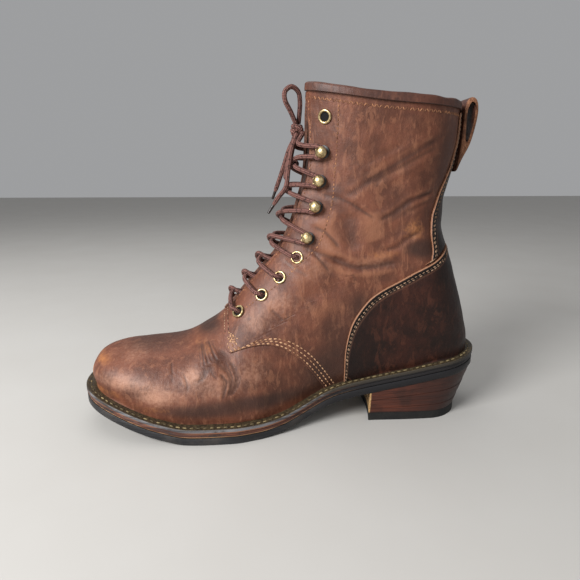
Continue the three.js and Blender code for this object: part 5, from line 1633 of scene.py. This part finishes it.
def brassMetal(name):
    made = Finish(name, Metallic=1.0)
    tarnish = made.noise(420.0, 4.0, 0.65)
    scratch = made.noise(1.0, 2.0, coords=made.stretched((2500.0, 500.0, 500.0)))
    colour = made.mix(tarnish.between(0.42, 0.68), (200, 180, 136), (112, 90, 60))
    return made.finish(colour, 0.24 + tarnish * 0.28, scratch + tarnish, 0.00006, 0.4)


# A braid: two families of slanting strands round the cord, with dark flecks.
def laceCord(name):
    made = Finish(name, Specular_IOR_Level=0.25)
    distance, around = made.field("along"), made.field("around")
    braid = (around * 4.0 + distance * 3.6).math("SINE") * (around * 4.0 - distance * 3.6).math("SINE")
    fleck = made.noise(1.0, 2.0, coords=made.stretched((520.0, 520.0, 520.0)))
    fuzz = made.noise(1600.0, 2.0, 0.7)
    colour = made.mix(braid.between(-0.7, 0.4), (62, 38, 34), (132, 92, 84))
    colour = made.mix(fleck.between(0.55, 0.62) * 0.7, colour, (38, 25, 24))
    colour = made.mix(fuzz.between(0.6, 0.8) * 0.4, colour, (160, 122, 112))
    return made.finish(colour, 0.82, braid * 0.8 + fuzz * 0.5, 0.00035, 0.8)


def threadFinish(name, dark, light):
    made = Finish(name, Specular_IOR_Level=0.3)
    twist = made.noise(1400.0, 2.0)
    colour = made.mix(made.field("tone"), dark, light)
    colour = made.mix(twist.between(0.55, 0.75) * 0.5, colour, dark)
    return made.finish(colour, 0.75, twist, 0.0001, 0.6)


def plain(name, tone, roughness):
    made = Finish(name, Roughness=roughness)
    fine = made.noise(500.0, 2.0)
    darker = tuple(value * 0.7 for value in tone)
    return made.finish(made.mix(fine * 0.4, tone, darker), roughness)


upperLeather = leather("upper leather", tones["upper"], 0.5)
counterLeather = leather("counter leather", tones["counter"], 0.5, 0.7, 5.4, 0.26)
backstayLeather = leather("backstay leather", tones["counter"], 0.45, 0.3, 6.4, 0.26)
collarLeather = leather("collar leather", tones["collar"], 0.5)
tongueLeather = leather("tongue leather", tones["tongue"], 0.62)
cutEdge = rawEdge("cut edge", [(104, 66, 46), (148, 104, 77), (60, 35, 24)])
facingEdge = rawEdge("facing edge", [(66, 40, 30), (104, 68, 52), (46, 28, 22)])
lining = rawEdge("lining", [(104, 78, 58), (138, 106, 80), (70, 50, 38)])
stackFinish = heelStack("heel stack")
edgeBrown = [(70, 40, 30), (128, 84, 62)]
# Each layer's last colours are its painted shade at the rear.
outsoleFinish = banded("outsole rubber", [(20, 20, 22), (38, 38, 41)], [(28, 28, 29), (38, 38, 38)],
                       [(16, 16, 18), (30, 30, 32)], (54, 50, 48), [(19, 18, 21), (14, 13, 16)])
midsoleFinish = banded("midsole leather", [(54, 29, 22), (100, 58, 42)], [(80, 45, 30), (100, 60, 40)],
                       [(96, 66, 44), (156, 120, 88)], (38, 30, 28), [(22, 19, 21), (20, 18, 20)])
# The welt's light grey side is a painted highlight, the silvery sheen along its edge.
weltFinish = banded("welt leather", [(66, 64, 66), (116, 114, 116)], [(44, 36, 25), (78, 66, 44)],
                    edgeBrown, (52, 44, 40), [(50, 44, 36), (24, 21, 21)])
capFinish = rubber("heel cap rubber", (13, 13, 14), (36, 34, 30))
brass = brassMetal("brass")
# Near black for the eyelet holes: painted shade.
paintedHoleShade = plain("painted hole shade", (8, 6, 6), 1.0)
# The hooks' base: near black, partly its own colour and partly painted shadow under the dome.
hookBaseAndShadow = plain("hook base and shadow", (20, 17, 15), 0.45)
laceFinish = laceCord("braided lace")
aglet = plain("aglet", (34, 22, 18), 0.3)
tanThread = threadFinish("tan thread", (128, 88, 62), (200, 158, 122))
darkThread = threadFinish("dark thread", (50, 34, 27), (168, 136, 110))
wornThread = threadFinish("worn thread", (92, 58, 40), (170, 120, 86))
weltThread = threadFinish("welt thread", (62, 52, 36), (150, 132, 94))
print("materials made")


# The boot put together
for cordName in bow:
    buildCord(cordName, laceFinish, aglet)
print("cords made")
buildVamp("vamp", [upperLeather, facingEdge, lining])
quarters = {
    -1: buildQuarter(-1, "quarter_lateral", [upperLeather, facingEdge, lining]),
    1: buildQuarter(1, "quarter_medial", [upperLeather, facingEdge, lining]),
}
counters = buildCounter("counter_panel", [counterLeather, cutEdge, lining])
backstays = buildBackstay("backstay_strip", [backstayLeather, cutEdge, lining])
buildTongue("tongue_leather", [tongueLeather, cutEdge, tongueLeather])
buildBinding("binding", [collarLeather])
buildPullLoop("pull_strap", [collarLeather, cutEdge])
print("panels made")

# Layers of the edge: piece, finish, slot and rings of (inset, rise over the sole's bottom, which side)
soleRings = {
    "outsole": ("outsole_edge", outsoleFinish, "sole_rubber", [
        (1.1, 0.0, 0), (0.75, 0.12, 0), (0.4, 0.7, 0), (0.4, 5.0, 0), (0.65, 5.5, 0),
    ]),
    "midsole": ("midsole_edge", midsoleFinish, "midsole_leather", [
        (1.2, 5.7, -1), (0.9, 6.0, -1), (0.9, 6.3, -1), (0.9, 6.7, 0), (0.9, 8.6, 0), (1.2, 8.9, 0),
    ]),
    "welt": ("welt_edge", weltFinish, "welt_leather", [
        (0.25, 9.1, -1), (0.0, 9.4, -1), (0.0, 10.1, -1), (0.0, 10.5, 0), (0.0, 11.6, 0),
        (0.12, 12.15, 0), (0.45, 12.42, 1), (0.9, 12.5, 1), (2.6, 12.3, 1), (3.6, 12.15, 1),
        (4.6, 12.4, 1), (6.0, 12.5, 1),
    ]),
}
for node, (pieceName, finish, slotName, rings) in soleRings.items():
    buildLayer(pieceName, node, rings, finish, slotName)
for k in range(heel["lifts"]):
    low, high = k / heel["lifts"], (k + 1) / heel["lifts"]
    setIn = heel["step"] * (k % 2)
    buildHeelSlab(f"lift_{k + 1}", f"heel_lift_{k + 1}", low, high, setIn, stackFinish, "heel_stack")
buildHeelSlab("top_piece", "heel_cap", -1, 0, 0.0, capFinish, "heel_rubber")
print("sole made")

for (name, side), seat in seats.items():
    label = "lateral" if side < 0 else "medial"
    build = buildHook if name.startswith("hook") else buildEyelet
    build(f"{name}_{label}", seat, brass, hookBaseAndShadow if build is buildHook else paintedHoleShade)
buildLaces("lace_run", laceFinish)
buildKnot(laceFinish)
print("hardware and lace made")

# Stitches of each seam: pitch, length, width and height
seams = {
    "quarter": (3.5, 2.7, 1.0, 0.65), "front": (2.4, 1.7, 0.8, 0.4), "throat": (2.5, 1.8, 0.75, 0.45),
    "counter": (3.1, 2.4, 0.85, 0.6), "backstay": (3.1, 2.4, 0.85, 0.6), "eyestay": (2.9, 2.0, 0.95, 0.6),
    "tack": (2.2, 1.9, 0.8, 0.5), "collar": (1.7, 2.9, 0.65, 0.45), "welt": (4.9, 3.6, 1.25, 0.9),
}
onQuarter = last["quarter"] + 0.05
collarSeam = {"below": 8.2, "lean": 0.95}
weltSeam = {"inset": 3.6, "rise": 12.25}
eyestay = [
    (36, 240), (36, 206), (35, 190), (34, 173), (30, 156), (25, 142), (22, 137), (9, 124), (-2, 113),
    (-16, 102), (-31, 91), (-37, 86),
]
stayLine = spread(through(eyestay, 300), 150) + [158.0, 0.0]
tackAt = np.array([(113.6, 66.4), (119.4, 73.2), (113.8, 71.2), (120.6, 67.8), (114.6, 75.0), (122.4, 71.0)])

# Panel, first line that is sewn, lift and seed of the seams beside the back
backSeams = [("counter", counters, 4, 3.3, 31), ("backstay", backstays, 8, 2.95, 41)]
tanRows, wornRows, darkRows, weltRows = [], [], [], []
for side in (-1, 1):
    for k, distance in enumerate(stitchSetIn["quarter"]):
        row, q = level(quarters[side], "front", distance, 0)
        path, normal = onPanel(row[2:], q[2:], side, onQuarter)
        lower = (path[:, 0] > 113.0 + 0.5 * distance) & (path[:, 2] < 70.0 + 0.6 * distance)
        tanRows.append(stitchRow(path[lower], normal[lower], *seams["quarter"], 11 + k))
        if k < 2:
            front = path[:, 2] > 74.0
            darkRows.append(stitchRow(path[front], normal[front], *seams["front"], 14 + k))
    row, q = level(quarters[side], "throat", stitchSetIn["throat"][0], 1)
    path, normal = onPanel(row[4:-1], q[4:-1], side, onQuarter)
    wornRows.append(stitchRow(path, normal, *seams["throat"], 21))
    for seam, panel, clear, lift, seed in backSeams:
        for k, distance in enumerate(stitchSetIn[seam]):
            row, q = level(panel[side], "edge", distance, 1)
            path, normal = onPanel(row[clear:], q[clear:], side, lift)
            darkRows.append(stitchRow(path, normal, *seams[seam], seed + k))
for side in (-1, 1):
    path, normal = onPanel(*edgeOnSkin(stayLine, side), side, onQuarter)
    wornRows.append(stitchRow(path, normal, *seams["eyestay"], 51))
    row, q = placeOnSkin(*spread(tackAt, 60).T, side)
    path, normal = onPanel(row, q, side, last["quarter"] + 0.15)
    tanRows.append(stitchRow(path, normal, *seams["tack"], 81, 0.35, 0.3))
    turns = np.linspace(float(throatAt(float(lastRow), side)) - 0.012, 0.035, 200)
    collar = skin(np.full_like(turns, lastRow), sideTurn(turns, side))
    row, q = placeOnSkin(collar[:, 0], collar[:, 2] - collarSeam["below"], side)
    path, normal = onPanel(row, q, side, onQuarter)
    place, axis, across, out, size = stitchRow(path, normal, *seams["collar"], 61, 0.0, 0.0)
    zigzag = np.where(np.arange(len(place)) % 2, collarSeam["lean"], -collarSeam["lean"])[:, None]
    leaning = axis * np.cos(zigzag) + across * np.sin(zigzag)
    beside = across * np.cos(zigzag) - axis * np.sin(zigzag)
    wornRows.append((place, leaning, beside, out, size))
    share = 0.5 - 0.5 * np.cos(np.pi * np.linspace(0.03, 1, 400))
    x = weltSeam["inset"] + share * (last["length"] - 2 * weltSeam["inset"])
    half = halfWidth(x, side, evenInset(weltSeam["inset"]))
    path = np.stack([x, side * half, soleBottom(x) + weltSeam["rise"]], -1)
    rising = np.gradient(soleBottom(x), x)
    normal = unit(np.stack([-rising, np.zeros_like(x), np.ones_like(x)], -1))
    weltRows.append(stitchRow(path, normal, *seams["welt"], 71, 0.0, 0.08))
buildStitches("stitches_tan", tanRows, tanThread, "upper_leather")
buildStitches("stitches_worn", wornRows, wornThread, "upper_leather")
buildStitches("stitches_dark", darkRows, darkThread, "counter_leather")
buildStitches("stitches_welt", weltRows, weltThread, "welt_leather")
print("stitches made")

insole = bpy.data.objects["insole"]
insole.data.materials.clear()
insole.data.materials.append(lining)

# Floor
floorHalf = 4
floorMesh = bpy.data.meshes.new("floor")
corners = [(-floorHalf, -floorHalf, 0), (floorHalf, -floorHalf, 0), (floorHalf, floorHalf, 0)]
floorMesh.from_pydata(corners + [(-floorHalf, floorHalf, 0)], [], [(0, 1, 2, 3)])
floorFinish = Finish("floor")
grain = floorFinish.noise(9.0, 3.0)
floorMesh.materials.append(floorFinish.finish(floorFinish.mix(grain, (182, 179, 174), (190, 188, 184)), 0.85))
floor = bpy.data.objects.new("floor", floorMesh)
bpy.context.scene.collection.objects.link(floor)

print("done")
